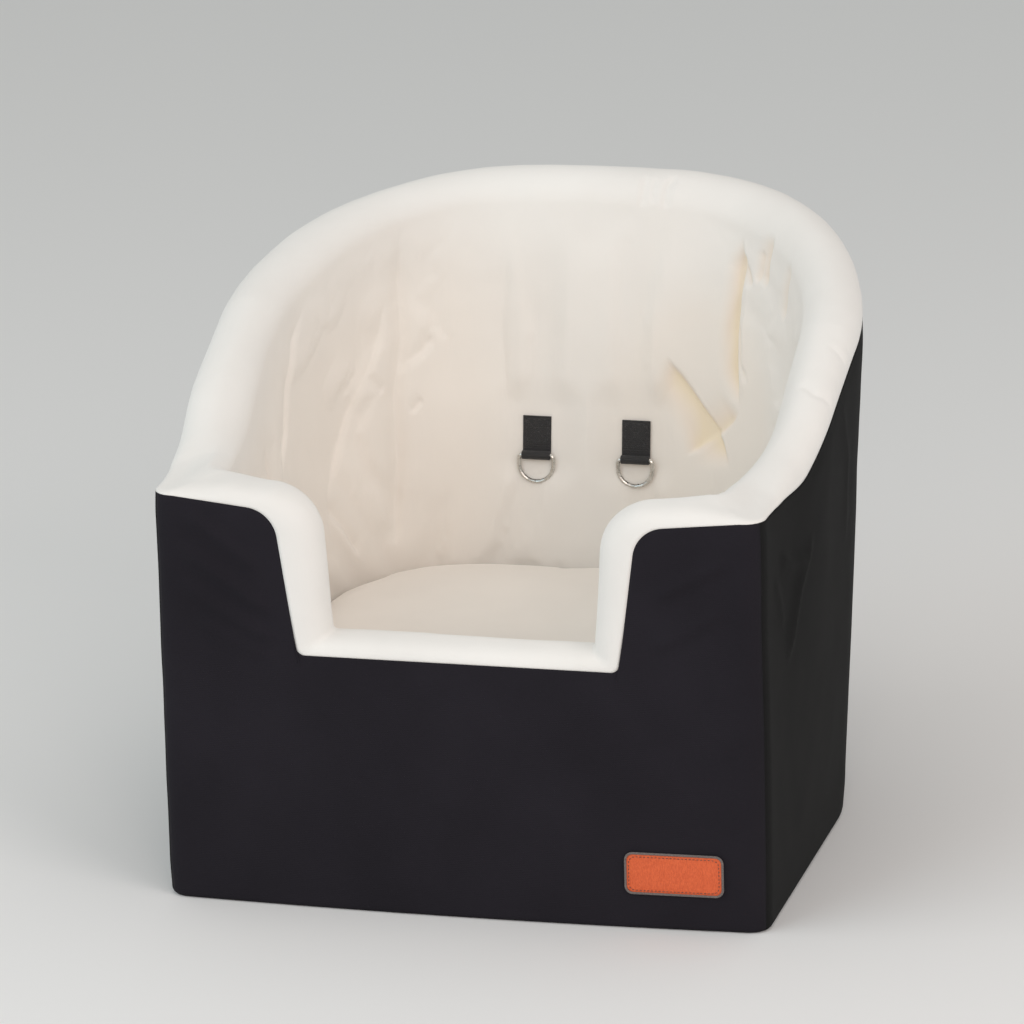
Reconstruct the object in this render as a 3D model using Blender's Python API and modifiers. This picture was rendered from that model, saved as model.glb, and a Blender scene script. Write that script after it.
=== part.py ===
"""Dog car seat: a soft bucket of foam boards in a zipped cover, with a padded liner and a lift-out cushion.

Run it with blender --background --python part.py, or from the text editor. Units are metres, +Z is up and
the front, with its step-in notch, faces -Y. The origin is the middle of the footprint, on the floor.
A place on the wall is given by u, the distance along the outside of the footprint from the middle of the
front, by d, the depth inwards from the outer face, and by z, the height.
"""

import math

import bmesh
import bpy
from mathutils import Vector

# Footprint and heights
WIDTH = 0.508
DEPTH = 0.457
FRONT_RADIUS = 0.018
BACK_FLAT = 0.144  # straight middle of the back, which carries the zip, the loops and the rings
INNER_FRONT_RADIUS = 0.010
ARM_HEIGHT = 0.361  # at the front corners
ARM_RISE = 0.009  # how far the arms rise from the notch to the front corners
BACK_HEIGHT = 0.503
SWEEP_GAP = 0.0387  # from the front corner to where the rim starts to climb from the arm
SWEEP_START_SHARE = 0.17  # share of the sweep over which it bends up
SWEEP_END_SHARE = 0.51  # and over which it levels out at the back
SWEEP_POWER = 0.75  # below 1 lifts the middle of the sweep
SIDE_FLARE = 0.046  # outward lean of the sides at the rear, as a slope
BACK_LEAN = 0.140  # backward lean of the back, likewise
LEAN_LENGTH = 0.171  # from the front corner to where the walls lean in full

# Wall layers, from outside to inside
CLEARANCE = 0.0003
COVER_THICKNESS = 0.0015
FOAM_THICKNESS = 0.040
LINER_THICKNESS = 0.008
LINER_LIP = 0.004  # thickness of the liner where it is sewn to the cover
LINER_CROWN = 0.003

# Notch in the front, as half widths and heights of the seam and of the padded rim inside it
SEAM_LIP_HEIGHT = 0.217
SEAM_LIP_HALF = 0.1345
SEAM_TOP_HALF = 0.151
SEAM_LIP_RADIUS = 0.008
SEAM_SHOULDER_RADIUS = 0.028
RIM_LIP_HEIGHT = 0.231
RIM_LIP_HALF = 0.1105
RIM_TOP_HALF = 0.1185
RIM_LIP_RADIUS = 0.004
RIM_SHOULDER_RADIUS = 0.045
NOTCH_ZONE = 0.165  # half width over which the notch runs straight through the wall
FRONT_RIM_RISE = 0.0135  # rim above the seam on the arms
SIDE_RIM_RISE = 0.025  # rim above the seam on the sides and back
RISE_GAP = 0.0417  # from the front corner to where the one goes over into the other
RISE_LENGTH = 0.066

# Seat
LINER_FLOOR_TOP = 0.1360
LINER_FLOOR_THICKNESS = 0.0015
CUSHION_CASE_THICKNESS = 0.0012
CUSHION_SIDE_GAP = 0.004
CUSHION_FILL_GAP = 0.0005
CUSHION_BASE = LINER_FLOOR_TOP + CLEARANCE
CUSHION_SEAM = 0.152
CUSHION_CROWN = 0.178

# Zip up the middle of the back; n is the distance out from the face of the cover
ZIP_BOTTOM = 0.030
ZIP_TOP_GAP = 0.0197  # from the top of the zip to the seam under the rim
ZIP_PITCH = 0.006
TAPE_THICKNESS = 0.0012
TAPE_OUTER_X = 0.0177
TAPE_INNER_X = 0.0033
COVER_EDGE_X = TAPE_OUTER_X + CLEARANCE
TOOTH_TIP_X = 0.0008
TOOTH_ROOT_X = 0.0030
TOOTH_SHARE = 0.45
CHAIN_OUT = 0.0011
CHAIN_IN = 0.0026
STOP_LENGTH = 0.004
FOAM_SPLIT_X = 0.0090
SLIDER_LENGTH = 0.017
SLIDER_WIDTH = 0.0128
SLIDER_PLATE = 0.0014
SLIDER_RUN = 0.0004  # running clearance between slider and chain
SLIDER_WALL = 0.0011
SLIDER_POST_HALF = 0.0004
SLIDER_POST_LENGTH = 0.004
BRIDGE_WIDTH = 0.0024
BRIDGE_WALL = 0.0012
PULL_BAR_RADIUS = 0.0008
PULL_BAR_SHARE = 0.9  # how far down the bar its lower face lies, as a share of its radius
PULL_THICKNESS = 0.0014
PULL_LENGTH = 0.026
PULL_WIDTH = 0.0086
PULL_NECK = 0.0052
PULL_ARM = 0.0017
PULL_TOP_RADIUS = 0.0004
PULL_SHOULDER_RADIUS = 0.0008
PULL_END_RADIUS = 0.0025

# Webbing loops on the back that the car's lap belt is threaded through
LOOP_X = 0.0425
LOOP_WIDTH = 0.038
LOOP_WEB = 0.0016
LOOP_BASE = 0.150
LOOP_SEWN = 0.020
LOOP_RAMP = 0.014
LOOP_SPAN = 0.056
LOOP_STAND = 0.0125

# Tether rings on the inside of the back
RING_X = 0.044
RING_WIRE = 0.0018
RING_CORNER = 0.0027
RING_CLEAR_WIDTH = 0.027
RING_AXIS_HEIGHT = 0.262
RING_DROP = 0.008
TAB_WIDTH = 0.025
TAB_WEB = 0.0014
TAB_EYE = 0.0024
TAB_LENGTH = 0.034

# Sewn patch low on the front
PATCH_SIDE_GAP = 0.036  # from the patch to the side of the seat
PATCH_BASE_GAP = 0.032  # and to the floor
PATCH_WIDTH = 0.080
PATCH_HEIGHT = 0.034
PATCH_RADIUS = 0.006
PATCH_THICKNESS = 0.0012

OVERRUN = 0.02  # how far a cutter passes the face that it cuts
WELD = 0.00001  # points closer than this are one point
ROLL_STEPS = 8  # faces round the rim
WALL_LEVELS = 4  # faces up the wall
ROUND_STEPS = 6  # faces round a corner of an outline
STRAIGHT_STEPS = 4  # faces along a straight stretch of the notch

# Sizes worked out from the ones above
HALF = WIDTH / 2
REAR_RADIUS = (WIDTH - BACK_FLAT) / 2
FRONT_Y = -DEPTH / 2
FOAM_OUT = COVER_THICKNESS + CLEARANCE
FOAM_IN = FOAM_OUT + FOAM_THICKNESS
LINER_OUT = FOAM_IN + 2 * CLEARANCE
WALL = LINER_OUT + LINER_THICKNESS
FRONT_END = HALF - FRONT_RADIUS
CORNER_END = FRONT_END + FRONT_RADIUS * math.pi / 2
SIDE_LENGTH = DEPTH - FRONT_RADIUS - REAR_RADIUS
SIDE_END = CORNER_END + SIDE_LENGTH
ARC_END = SIDE_END + REAR_RADIUS * math.pi / 2
BACK_MIDDLE = ARC_END + BACK_FLAT / 2
SWEEP_START = CORNER_END + SWEEP_GAP
RISE_START = CORNER_END + RISE_GAP
ARM_SEAM = ARM_HEIGHT - FRONT_RIM_RISE
BASE_TOP = COVER_THICKNESS + CLEARANCE
LINER_FLOOR_BASE = LINER_FLOOR_TOP - LINER_FLOOR_THICKNESS
BACK_ANGLE = math.atan(BACK_LEAN)
ZIP_TOP = (BACK_HEIGHT - SIDE_RIM_RISE) / math.cos(BACK_ANGLE) - ZIP_TOP_GAP


# The shape of the wall

def ease(t):
    """Smooth step from 0 to 1."""
    t = min(1.0, max(0.0, t))
    return t * t * (3 - 2 * t)


def rim_height(u):
    """Height of the padded rim: level on the arms, then a long even sweep up to the back."""
    t = min(1.0, max(0.0, (abs(u) - SWEEP_START) / (BACK_MIDDLE - SWEEP_START)))
    slope = 1 / (1 - SWEEP_START_SHARE / 2 - SWEEP_END_SHARE / 2)
    if t < SWEEP_START_SHARE:
        share = slope * t ** 2 / (2 * SWEEP_START_SHARE)
    elif t < 1 - SWEEP_END_SHARE:
        share = slope * (t - SWEEP_START_SHARE / 2)
    else:
        share = 1 - slope * (1 - t) ** 2 / (2 * SWEEP_END_SHARE)
    return ARM_HEIGHT + (BACK_HEIGHT - ARM_HEIGHT) * share ** SWEEP_POWER


def rim_rise(u):
    """Height of the rim above the seam between liner and cover."""
    share = ease((abs(u) - RISE_START) / RISE_LENGTH)
    return FRONT_RIM_RISE + (SIDE_RIM_RISE - FRONT_RIM_RISE) * share


def seam_height(u):
    return rim_height(u) - rim_rise(u)


def corner_radius(d):
    """Radius of the front corners at depth d."""
    return FRONT_RADIUS + (INNER_FRONT_RADIUS - FRONT_RADIUS) * min(1.0, d / WALL)


def mitred(u, d):
    """The u of a point at depth d on the section through u, which slants on the sides to meet the front."""
    shift = d + corner_radius(d) - FRONT_RADIUS
    if CORNER_END <= u < SIDE_END:
        return u + shift * (SIDE_END - u) / SIDE_LENGTH
    return u


def wall_point(u, d, z, mitre=True):
    """The point at u, d and z; u is negative on the left."""
    side, u = math.copysign(1, u), abs(u)
    if mitre:
        u = mitred(u, d)
    radius = corner_radius(d) if mitre else max(FRONT_RADIUS - d, 0)
    end_x = HALF - d - radius
    if u <= FRONT_END:
        x, y = u, FRONT_Y + d
        if u > NOTCH_ZONE:
            x = NOTCH_ZONE + (u - NOTCH_ZONE) * (end_x - NOTCH_ZONE) / (FRONT_END - NOTCH_ZONE)
        normal = Vector((0, -1))
    elif u < CORNER_END:
        angle = (u - FRONT_END) / FRONT_RADIUS
        normal = Vector((math.sin(angle), -math.cos(angle)))
        x, y = end_x + radius * normal.x, FRONT_Y + d + radius + radius * normal.y
    elif u < SIDE_END:
        x, y = HALF - d, FRONT_Y + FRONT_RADIUS + u - CORNER_END
        normal = Vector((1, 0))
    elif u < ARC_END:
        angle = (u - SIDE_END) / REAR_RADIUS
        normal = Vector((math.cos(angle), math.sin(angle)))
        x = HALF - REAR_RADIUS + (REAR_RADIUS - d) * normal.x
        y = -FRONT_Y - REAR_RADIUS + (REAR_RADIUS - d) * normal.y
    else:
        x, y = BACK_MIDDLE - u, -FRONT_Y - d
        normal = Vector((0, 1))
    lean = ease((u - CORNER_END) / LEAN_LENGTH)
    x += z * lean * SIDE_FLARE * normal.x
    y += z * lean * BACK_LEAN * normal.y
    return Vector((side * x, y, z))


def spaced(start, end, count):
    """Numbers from start to end, both included."""
    return [start + (end - start) * i / count for i in range(count + 1)]


def stations(start, end, arc_steps=14):
    """Places u along one side of the wall, close together where it curves."""
    marks = {start, end}
    marks.update(spaced(FRONT_END, CORNER_END, 4))
    marks.update(spaced(CORNER_END, SIDE_END, 10))
    marks.update(spaced(SIDE_END, ARC_END, arc_steps))
    marks.update((BACK_MIDDLE - COVER_EDGE_X, BACK_MIDDLE - FOAM_SPLIT_X, BACK_MIDDLE))
    return sorted(u for u in marks if start <= u <= end)


def levels(u):
    """Heights up the wall from the liner's floor to under the seam, so that all its layers bend alike."""
    rise = seam_height(u) - LINER_FLOOR_TOP
    return [LINER_FLOOR_TOP + rise * step / WALL_LEVELS for step in range(WALL_LEVELS)]


def plan_ring(d, z, arc_steps=14, level=None):
    """The whole footprint at depth d, as points at height z; level is the height whose outline it takes."""
    marks = stations(FRONT_END, BACK_MIDDLE, arc_steps)
    right = [wall_point(u, d, z if level is None else level) for u in marks]
    left = [Vector((-p.x, p.y, p.z)) for p in reversed(right[:-1])]
    return [Vector((p.x, p.y, z)) for p in right + left]


def rounded(corners, radii, steps=ROUND_STEPS):
    """A line through corners in a plane, each of the inner ones rounded by its radius."""
    points = [Vector(corners[0])]
    for i, radius in enumerate(radii):
        corner = Vector(corners[i + 1])
        back = (Vector(corners[i]) - corner).normalized()
        on = (Vector(corners[i + 2]) - corner).normalized()
        half = back.angle(on) / 2
        centre = corner + (back + on).normalized() * radius / math.sin(half)
        first = corner + back * radius / math.tan(half) - centre
        turn = first.angle_signed(corner + on * radius / math.tan(half) - centre)
        for step in range(steps + 1):
            angle = turn * step / steps
            points.append(centre + Vector((first.x * math.cos(angle) + first.y * math.sin(angle),
                                           first.y * math.cos(angle) - first.x * math.sin(angle))))
    points.append(Vector(corners[-1]))
    return points


def mirrored(right):
    """A closed outline from its right half, which is given without the points on the middle line."""
    return right + [Vector((-p.x, p.y)) for p in reversed(right)]


def subdivided(points, counts):
    """A line with extra points on its straight stretches: counts maps a stretch's number to its pieces."""
    made = [points[0]]
    for i, (a, b) in enumerate(zip(points, points[1:])):
        made += [a.lerp(b, k / counts.get(i, 1)) for k in range(1, counts.get(i, 1) + 1)]
    return made


def seam_line(inset=0.0):
    """Right half of the seam round the notch, in x and z; inset moves it down into the wall."""
    corners = [(0, SEAM_LIP_HEIGHT - inset), (SEAM_LIP_HALF + inset, SEAM_LIP_HEIGHT - inset),
               (SEAM_TOP_HALF + inset, ARM_SEAM - ARM_RISE - inset), (FRONT_END, ARM_SEAM - inset)]
    return rounded(corners, [SEAM_LIP_RADIUS + inset, SEAM_SHOULDER_RADIUS - inset])


def rim_line():
    """Right half of the padded rim round the notch, with as many points as the seam."""
    corners = [(0, RIM_LIP_HEIGHT), (RIM_LIP_HALF, RIM_LIP_HEIGHT),
               (RIM_TOP_HALF, ARM_HEIGHT - ARM_RISE), (FRONT_END, ARM_HEIGHT)]
    return rounded(corners, [RIM_LIP_RADIUS, RIM_SHOULDER_RADIUS])


# Building blocks

COLLECTION = bpy.data.collections.new("dog_car_seat")
CUTTERS = bpy.data.collections.new("cutters")


def clear_scene():
    for obj in list(bpy.data.objects):
        bpy.data.objects.remove(obj)
    for collection in (COLLECTION, CUTTERS):
        bpy.context.scene.collection.children.link(collection)


def material(name, colour, roughness, metallic=0.0):
    made = bpy.data.materials.new(name)
    made.use_nodes = True
    shader = made.node_tree.nodes["Principled BSDF"]
    shader.inputs["Base Color"].default_value = (*colour, 1)
    shader.inputs["Roughness"].default_value = roughness
    shader.inputs["Metallic"].default_value = metallic
    return made


def add(name, data, finish, collection=COLLECTION):
    """A named object for a mesh or a curve, with its material."""
    obj = bpy.data.objects.new(name, data)
    obj.data.materials.append(finish)
    collection.objects.link(obj)
    return obj


def mesh_object(name, bm, finish):
    """An object from a bmesh; quads are split across the shorter way, so that nested skins stay apart."""
    bmesh.ops.recalc_face_normals(bm, faces=bm.faces)
    quads = [face for face in bm.faces if len(face.verts) == 4]
    bmesh.ops.triangulate(bm, faces=quads, quad_method="SHORT_EDGE")
    mesh = bpy.data.meshes.new(name)
    bm.to_mesh(mesh)
    bm.free()
    mesh.shade_smooth()
    mesh.set_sharp_from_angle(angle=math.radians(40))
    return add(name, mesh, finish)


def loft(name, rings, finish, folded=False):
    """A skin through rings of points, each with as many points as the last, and closed at both ends.

    The rings of a folded one run out along one face of a cloth and back along the other, and its ends are
    closed from face to face.
    """
    bm = bmesh.new()
    rows = [[bm.verts.new(p) for p in ring] for ring in rings]
    for a, b in zip(rows, rows[1:]):
        for i in range(len(a)):
            j = (i + 1) % len(a)
            bm.faces.new((a[i], a[j], b[j], b[i]))
    for row in (rows[0], rows[-1]):
        if folded:
            for i in range(len(row) // 2 - 1):
                bm.faces.new((row[i], row[i + 1], row[-i - 2], row[-i - 1]))
        else:
            bm.faces.new(row)
    return mesh_object(name, bm, finish)


def outline_object(name, points, thickness, finish, origin=(0, 0, 0), turn=(0, 0, 0),
                   collection=COLLECTION):
    """A flat closed outline in x and y, extruded by half its thickness each way, then placed."""
    curve = bpy.data.curves.new(name, "CURVE")
    curve.dimensions = "2D"
    curve.fill_mode = "BOTH"
    curve.extrude = thickness / 2
    spline = curve.splines.new("POLY")
    spline.points.add(len(points) - 1)
    for point, at in zip(spline.points, points):
        point.co = (at[0], at[1], 0, 1)
    spline.use_cyclic_u = True
    obj = add(name, curve, finish, collection)
    obj.location = origin
    obj.rotation_euler = turn
    return obj


def wire_object(name, points, radius, finish, sides=3):
    """A closed wire along points."""
    curve = bpy.data.curves.new(name, "CURVE")
    curve.dimensions = "3D"
    curve.bevel_depth = radius
    curve.bevel_resolution = sides
    spline = curve.splines.new("POLY")
    spline.points.add(len(points) - 1)
    for point, at in zip(spline.points, points):
        point.co = (*at, 1)
    spline.use_cyclic_u = True
    return add(name, curve, finish)


def as_mesh(obj):
    """The same object as a mesh with its caps welded, so that it can be cut, joined or bevelled."""
    bpy.context.view_layer.update()
    graph = bpy.context.evaluated_depsgraph_get()
    mesh = bpy.data.meshes.new_from_object(obj.evaluated_get(graph))
    bm = bmesh.new()
    bm.from_mesh(mesh)
    bmesh.ops.remove_doubles(bm, verts=bm.verts, dist=WELD)
    bm.to_mesh(mesh)
    bm.free()
    made = bpy.data.objects.new(obj.name, mesh)
    made.matrix_world = obj.matrix_world
    for collection in obj.users_collection:
        collection.objects.link(made)
    name = obj.name
    bpy.data.objects.remove(obj)
    made.name = name
    return made


def box(bm, low, high):
    """A box between two corners, added to a bmesh."""
    made = bmesh.ops.create_cube(bm, size=1)["verts"]
    size = [h - l for l, h in zip(low, high)]
    middle = [(h + l) / 2 for l, h in zip(low, high)]
    bmesh.ops.scale(bm, vec=size, verts=made)
    bmesh.ops.translate(bm, vec=middle, verts=made)


def box_object(name, low, high, finish, collection=COLLECTION):
    bm = bmesh.new()
    box(bm, low, high)
    mesh = bpy.data.meshes.new(name)
    bm.to_mesh(mesh)
    bm.free()
    return add(name, mesh, finish, collection)


def boolean(target, other, operation):
    """Joins or cuts target by other, which becomes a hidden guide."""
    cut = target.modifiers.new(operation.lower(), "BOOLEAN")
    cut.operation = operation
    cut.object = other
    other.hide_render = True
    other.display_type = "WIRE"
    for collection in list(other.users_collection):
        collection.objects.unlink(other)
    CUTTERS.objects.link(other)


def bevel(obj, width, segments=2, angle=40):
    made = obj.modifiers.new("rounded edges", "BEVEL")
    made.width = width
    made.segments = segments
    made.limit_method = "ANGLE"
    made.angle_limit = math.radians(angle)
    return made


def strip_outline(line, thickness):
    """The outline of a strip of webbing that runs along a line in a plane."""
    left, right = [], []
    for i, at in enumerate(line):
        before = line[max(i - 1, 0)]
        after = line[min(i + 1, len(line) - 1)]
        along = (Vector(after) - Vector(before)).normalized()
        across = Vector((-along.y, along.x)) * thickness / 2
        left.append(Vector(at) + across)
        right.append(Vector(at) - across)
    return left + right[::-1]


def back_frame(name, depth):
    """An empty on the middle of the back at a depth: its z runs up the leaning face, its y points out."""
    empty = bpy.data.objects.new(name, None)
    empty.location = (0, -FRONT_Y - depth, 0)
    empty.rotation_euler = (-BACK_ANGLE, 0, 0)
    COLLECTION.objects.link(empty)
    return empty


# The wall

def crown(u, z):
    """How far the padding of the liner stands out over its flat face."""
    across = (abs(u) - CORNER_END) / (ARC_END - CORNER_END)
    up = (z - LINER_FLOOR_TOP) / (seam_height(u) - LINER_FLOOR_TOP)
    if not (0 < across < 1 and 0 < up < 1):
        return 0.0
    return LINER_CROWN * math.sin(math.pi * across) * math.sin(math.pi * up)


def board_section(u, outer, inner, drop):
    """A section through the cover or the foam at u, from the base up to a little under the seam."""
    heights = [BASE_TOP] + levels(u) + [seam_height(u) - drop]
    out = [wall_point(u, outer, z, False) for z in heights]
    return out + [wall_point(u, inner, z, False) for z in reversed(heights)]


def side_liner_section(u, side):
    """A closed section through the liner at u: over the rim, down the inside and back up again."""
    points = []
    for angle in spaced(0, math.pi, ROLL_STEPS):
        d = WALL / 2 * (1 - math.cos(angle))
        at = mitred(u, d)
        points.append(wall_point(u, d, seam_height(at) + rim_rise(at) * math.sin(angle)))
    points += [wall_point(u, WALL + crown(u, z), z) for z in reversed(levels(mitred(u, WALL)))]
    points += [wall_point(u, LINER_OUT, z) for z in levels(mitred(u, LINER_OUT))]
    middle, half = (LINER_OUT + LINER_LIP) / 2, (LINER_OUT - LINER_LIP) / 2
    for angle in spaced(math.pi, 0, ROLL_STEPS):
        d = middle - half * math.cos(angle)
        at = mitred(u, d)
        rise = (rim_rise(at) - LINER_THICKNESS) * math.sin(angle)
        points.append(wall_point(u, d, seam_height(at) + rise))
    return [Vector((side * p.x, p.y, p.z)) for p in points]


def side_fill_section(u, side):
    """A section through the soft roll that the liner's rim is stuffed with."""
    points = []
    low, high = LINER_LIP + 3 * CLEARANCE, LINER_OUT - 3 * CLEARANCE
    for angle in spaced(0, math.pi, ROLL_STEPS):
        d = (low + high) / 2 - (high - low) / 2 * math.cos(angle)
        at = mitred(u, d)
        rise = (rim_rise(at) - LINER_THICKNESS - 3 * CLEARANCE) * math.sin(angle)
        points.append(wall_point(u, d, seam_height(at) + 2 * CLEARANCE + rise))
    return [Vector((side * p.x, p.y, p.z)) for p in points]


def front_sections():
    """Matched points of seam and rim along the front, from the middle to the end of the corner."""
    turn = ROUND_STEPS + 1
    extra = {0: STRAIGHT_STEPS, turn: STRAIGHT_STEPS, 2 * turn: STRAIGHT_STEPS}
    seam = subdivided(seam_line(), extra)
    rim = subdivided(rim_line(), extra)
    pairs = list(zip(seam, rim))
    for u in stations(FRONT_END, CORNER_END)[1:]:
        pairs.append((Vector((u, seam_height(u))), Vector((u, rim_height(u)))))
    return pairs


def front_floor_x(i, count):
    """Where the section numbered i of count meets the floor of the liner, spread evenly along it."""
    return FRONT_END * i / count


def front_liner_section(seam, rim, floor_u):
    points = []
    for angle in spaced(0, math.pi, ROLL_STEPS):
        at = seam.lerp(rim, math.sin(angle))
        points.append(wall_point(at.x, WALL / 2 * (1 - math.cos(angle)), at.y))
    points.append(wall_point(floor_u, WALL, LINER_FLOOR_TOP))
    points.append(wall_point(floor_u, LINER_OUT, LINER_FLOOR_TOP))
    middle, half = (LINER_OUT + LINER_LIP) / 2, (LINER_OUT - LINER_LIP) / 2
    reach = 1 - LINER_THICKNESS / (rim - seam).length
    for angle in spaced(math.pi, 0, ROLL_STEPS):
        at = seam.lerp(rim, reach * math.sin(angle))
        points.append(wall_point(at.x, middle - half * math.cos(angle), at.y))
    return points


def front_fill_section(seam, rim):
    points = []
    low, high = LINER_LIP + 3 * CLEARANCE, LINER_OUT - 3 * CLEARANCE
    length = (rim - seam).length
    start = CLEARANCE / length
    reach = 1 - (LINER_THICKNESS + CLEARANCE) / length
    for angle in spaced(0, math.pi, ROLL_STEPS):
        at = seam.lerp(rim, start + (reach - start) * math.sin(angle))
        points.append(wall_point(at.x, (low + high) / 2 - (high - low) / 2 * math.cos(angle), at.y))
    return points


def flipped(sections):
    """The same sections on the other side of the middle."""
    return [[Vector((-p.x, p.y, p.z)) for p in ring] for ring in sections]


def both_ways(sections):
    """Sections from one end to the other, out of those from the middle to one end."""
    return flipped(reversed(sections[1:])) + sections


def drawn_back(section, neighbour):
    """A section moved by half a clearance towards its neighbour, to part two pieces there."""
    return [p + (q - p).normalized() * CLEARANCE / 2 for p, q in zip(section, neighbour)]


def make_front(cream, foam):
    """The liner of the front, parted where the notch turns up, and the fill of its rim."""
    pairs = front_sections()
    last = len(pairs) - 1
    corner = len(stations(FRONT_END, CORNER_END)) - 1
    rings = []
    for i, (seam, rim) in enumerate(pairs):
        straight = last - corner
        floor_u = front_floor_x(i, straight) if i <= straight else seam.x
        rings.append(front_liner_section(seam, rim, floor_u))
    mitre = STRAIGHT_STEPS + ROUND_STEPS // 2
    lip = rings[:mitre] + [drawn_back(rings[mitre], rings[mitre - 1])]
    loft("front_liner", both_ways(lip), cream, True)
    arm = [drawn_back(rings[mitre], rings[mitre + 1])] + rings[mitre + 1:]
    loft("left_arm_liner", arm, cream, True)
    loft("right_arm_liner", flipped(arm), cream, True)
    loft("front_rim_fill", both_ways([front_fill_section(s, r) for s, r in pairs]), foam)


def make_front_foam(foam):
    """A flat board with rounded outer corners, with the notch cut through it."""
    radius = FRONT_RADIUS - FOAM_OUT
    half = HALF - FOAM_OUT
    outer, inner = FRONT_Y + FOAM_OUT, FRONT_Y + FOAM_IN
    right = rounded([(0, outer), (half, outer), (half, inner)], [radius])
    plan = mirrored(right[1:])
    height = ARM_SEAM - CLEARANCE - BASE_TOP
    board = as_mesh(outline_object("front_foam", plan, height, foam, (0, 0, BASE_TOP + height / 2)))
    line = seam_line(CLEARANCE)
    line.append(line[-1].lerp(line[-2], -1 / 2))
    line.append(Vector((line[-1].x, ARM_SEAM + 2 * OVERRUN)))
    notch = mirrored(line[1:])
    cutter = outline_object("notch_cutter", notch, WALL + 2 * OVERRUN, foam,
                            (0, FRONT_Y + WALL / 2, 0), (math.pi / 2, 0, 0), CUTTERS)
    boolean(board, as_mesh(cutter), "DIFFERENCE")


def make_front_cover(canvas):
    """The flat front panel of the cover, up to the seam."""
    line = seam_line(CLEARANCE)
    right = [Vector((FRONT_END, BASE_TOP))] + line[:0:-1]
    outline_object("front_cover", mirrored(right), COVER_THICKNESS, canvas,
                   (0, FRONT_Y + COVER_THICKNESS / 2, 0), (math.pi / 2, 0, 0))


def make_side(side, name, canvas, foam, cream):
    """The cover, foam board, rim fill and liner of one side, round to the middle of the back."""
    marks = stations(FRONT_END + CLEARANCE, BACK_MIDDLE - COVER_EDGE_X)
    loft(f"{name}_cover", [board_section(side * u, 0, COVER_THICKNESS, CLEARANCE) for u in marks], canvas)
    foam_start = CORNER_END + FOAM_IN + CLEARANCE - FRONT_RADIUS
    marks = stations(foam_start, BACK_MIDDLE - FOAM_SPLIT_X)
    loft(f"{name}_foam", [board_section(side * u, FOAM_OUT, FOAM_IN, 2 * CLEARANCE) for u in marks], foam)
    start, end = CORNER_END + CLEARANCE, BACK_MIDDLE - CLEARANCE / 2
    loft(f"{name}_rim_fill", [side_fill_section(u, side) for u in stations(start, end)], foam)
    parting = SIDE_END - CLEARANCE
    loft(f"{name}_liner", [side_liner_section(u, side) for u in stations(start, parting)], cream, True)
    loft(f"{name}_rear_liner", [side_liner_section(u, side) for u in stations(SIDE_END, end)], cream, True)


# Base and seat

def make_base(canvas, cream, foam):
    loft("base_cover", [plan_ring(0, 0), plan_ring(0, COVER_THICKNESS)], canvas)
    riser_top = LINER_FLOOR_BASE - CLEARANCE
    loft("riser_foam", [plan_ring(LINER_OUT, BASE_TOP), plan_ring(LINER_OUT, riser_top)], foam)
    floor_top = LINER_FLOOR_TOP - CLEARANCE
    floor_base = floor_top - LINER_FLOOR_THICKNESS + CLEARANCE
    loft("liner_floor", [plan_ring(LINER_OUT, floor_base), plan_ring(LINER_OUT, floor_top)], cream)


def cushion_profile(end, shares, inset=0.0):
    """Insets and heights from the seam to the middle of a face at height end; inset shrinks it."""
    way = math.copysign(1, end - CUSHION_SEAM)
    start = CUSHION_SEAM + way * CLEARANCE / 2
    rise = end - start
    return [(inset + a * abs(rise), start + b * (rise - way * inset)) for a, b in shares]


def cushion_top(inset=0.0):
    """The crowned top, drawn in above the seam."""
    shares = [(0.0, 0.0), (0.0, 0.12), (0.12, 0.38), (0.5, 0.62), (1.3, 0.80), (2.8, 0.93), (4.6, 1.0)]
    return cushion_profile(CUSHION_CROWN, shares, inset)


def cushion_base(inset=0.0):
    """The flat underside, with a rounded edge."""
    shares = [(0.0, 0.0), (0.0, 0.2), (0.15, 0.6), (0.6, 0.9), (1.4, 1.0)]
    return cushion_profile(CUSHION_BASE, shares, inset)


def cushion_rings(profile):
    edge = WALL + CUSHION_SIDE_GAP
    return [plan_ring(edge + inset, z, 8, CUSHION_SEAM) for inset, z in profile]


def half_case(name, face, finish):
    """Half of the cushion's case: a cloth shell, open at the seam, over one face of the cushion."""
    bm = bmesh.new()
    outer = [[bm.verts.new(p) for p in ring] for ring in cushion_rings(face())]
    inner = [[bm.verts.new(p) for p in ring] for ring in cushion_rings(face(CUSHION_CASE_THICKNESS))]
    rows = outer[::-1] + inner
    for a, b in zip(rows, rows[1:]):
        for i in range(len(a)):
            j = (i + 1) % len(a)
            bm.faces.new((a[i], a[j], b[j], b[i]))
    bm.faces.new(outer[-1])
    bm.faces.new(inner[-1])
    mesh_object(name, bm, finish)


def make_cushion(cream, foam):
    half_case("cushion_case_top", cushion_top, cream)
    half_case("cushion_case_base", cushion_base, cream)
    inset = CUSHION_CASE_THICKNESS + CUSHION_FILL_GAP
    rings = cushion_rings(cushion_base(inset))[::-1] + cushion_rings(cushion_top(inset))
    loft("cushion_fill", rings, foam)


# Zip, in the frame of the back: x across, y out, z up

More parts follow.
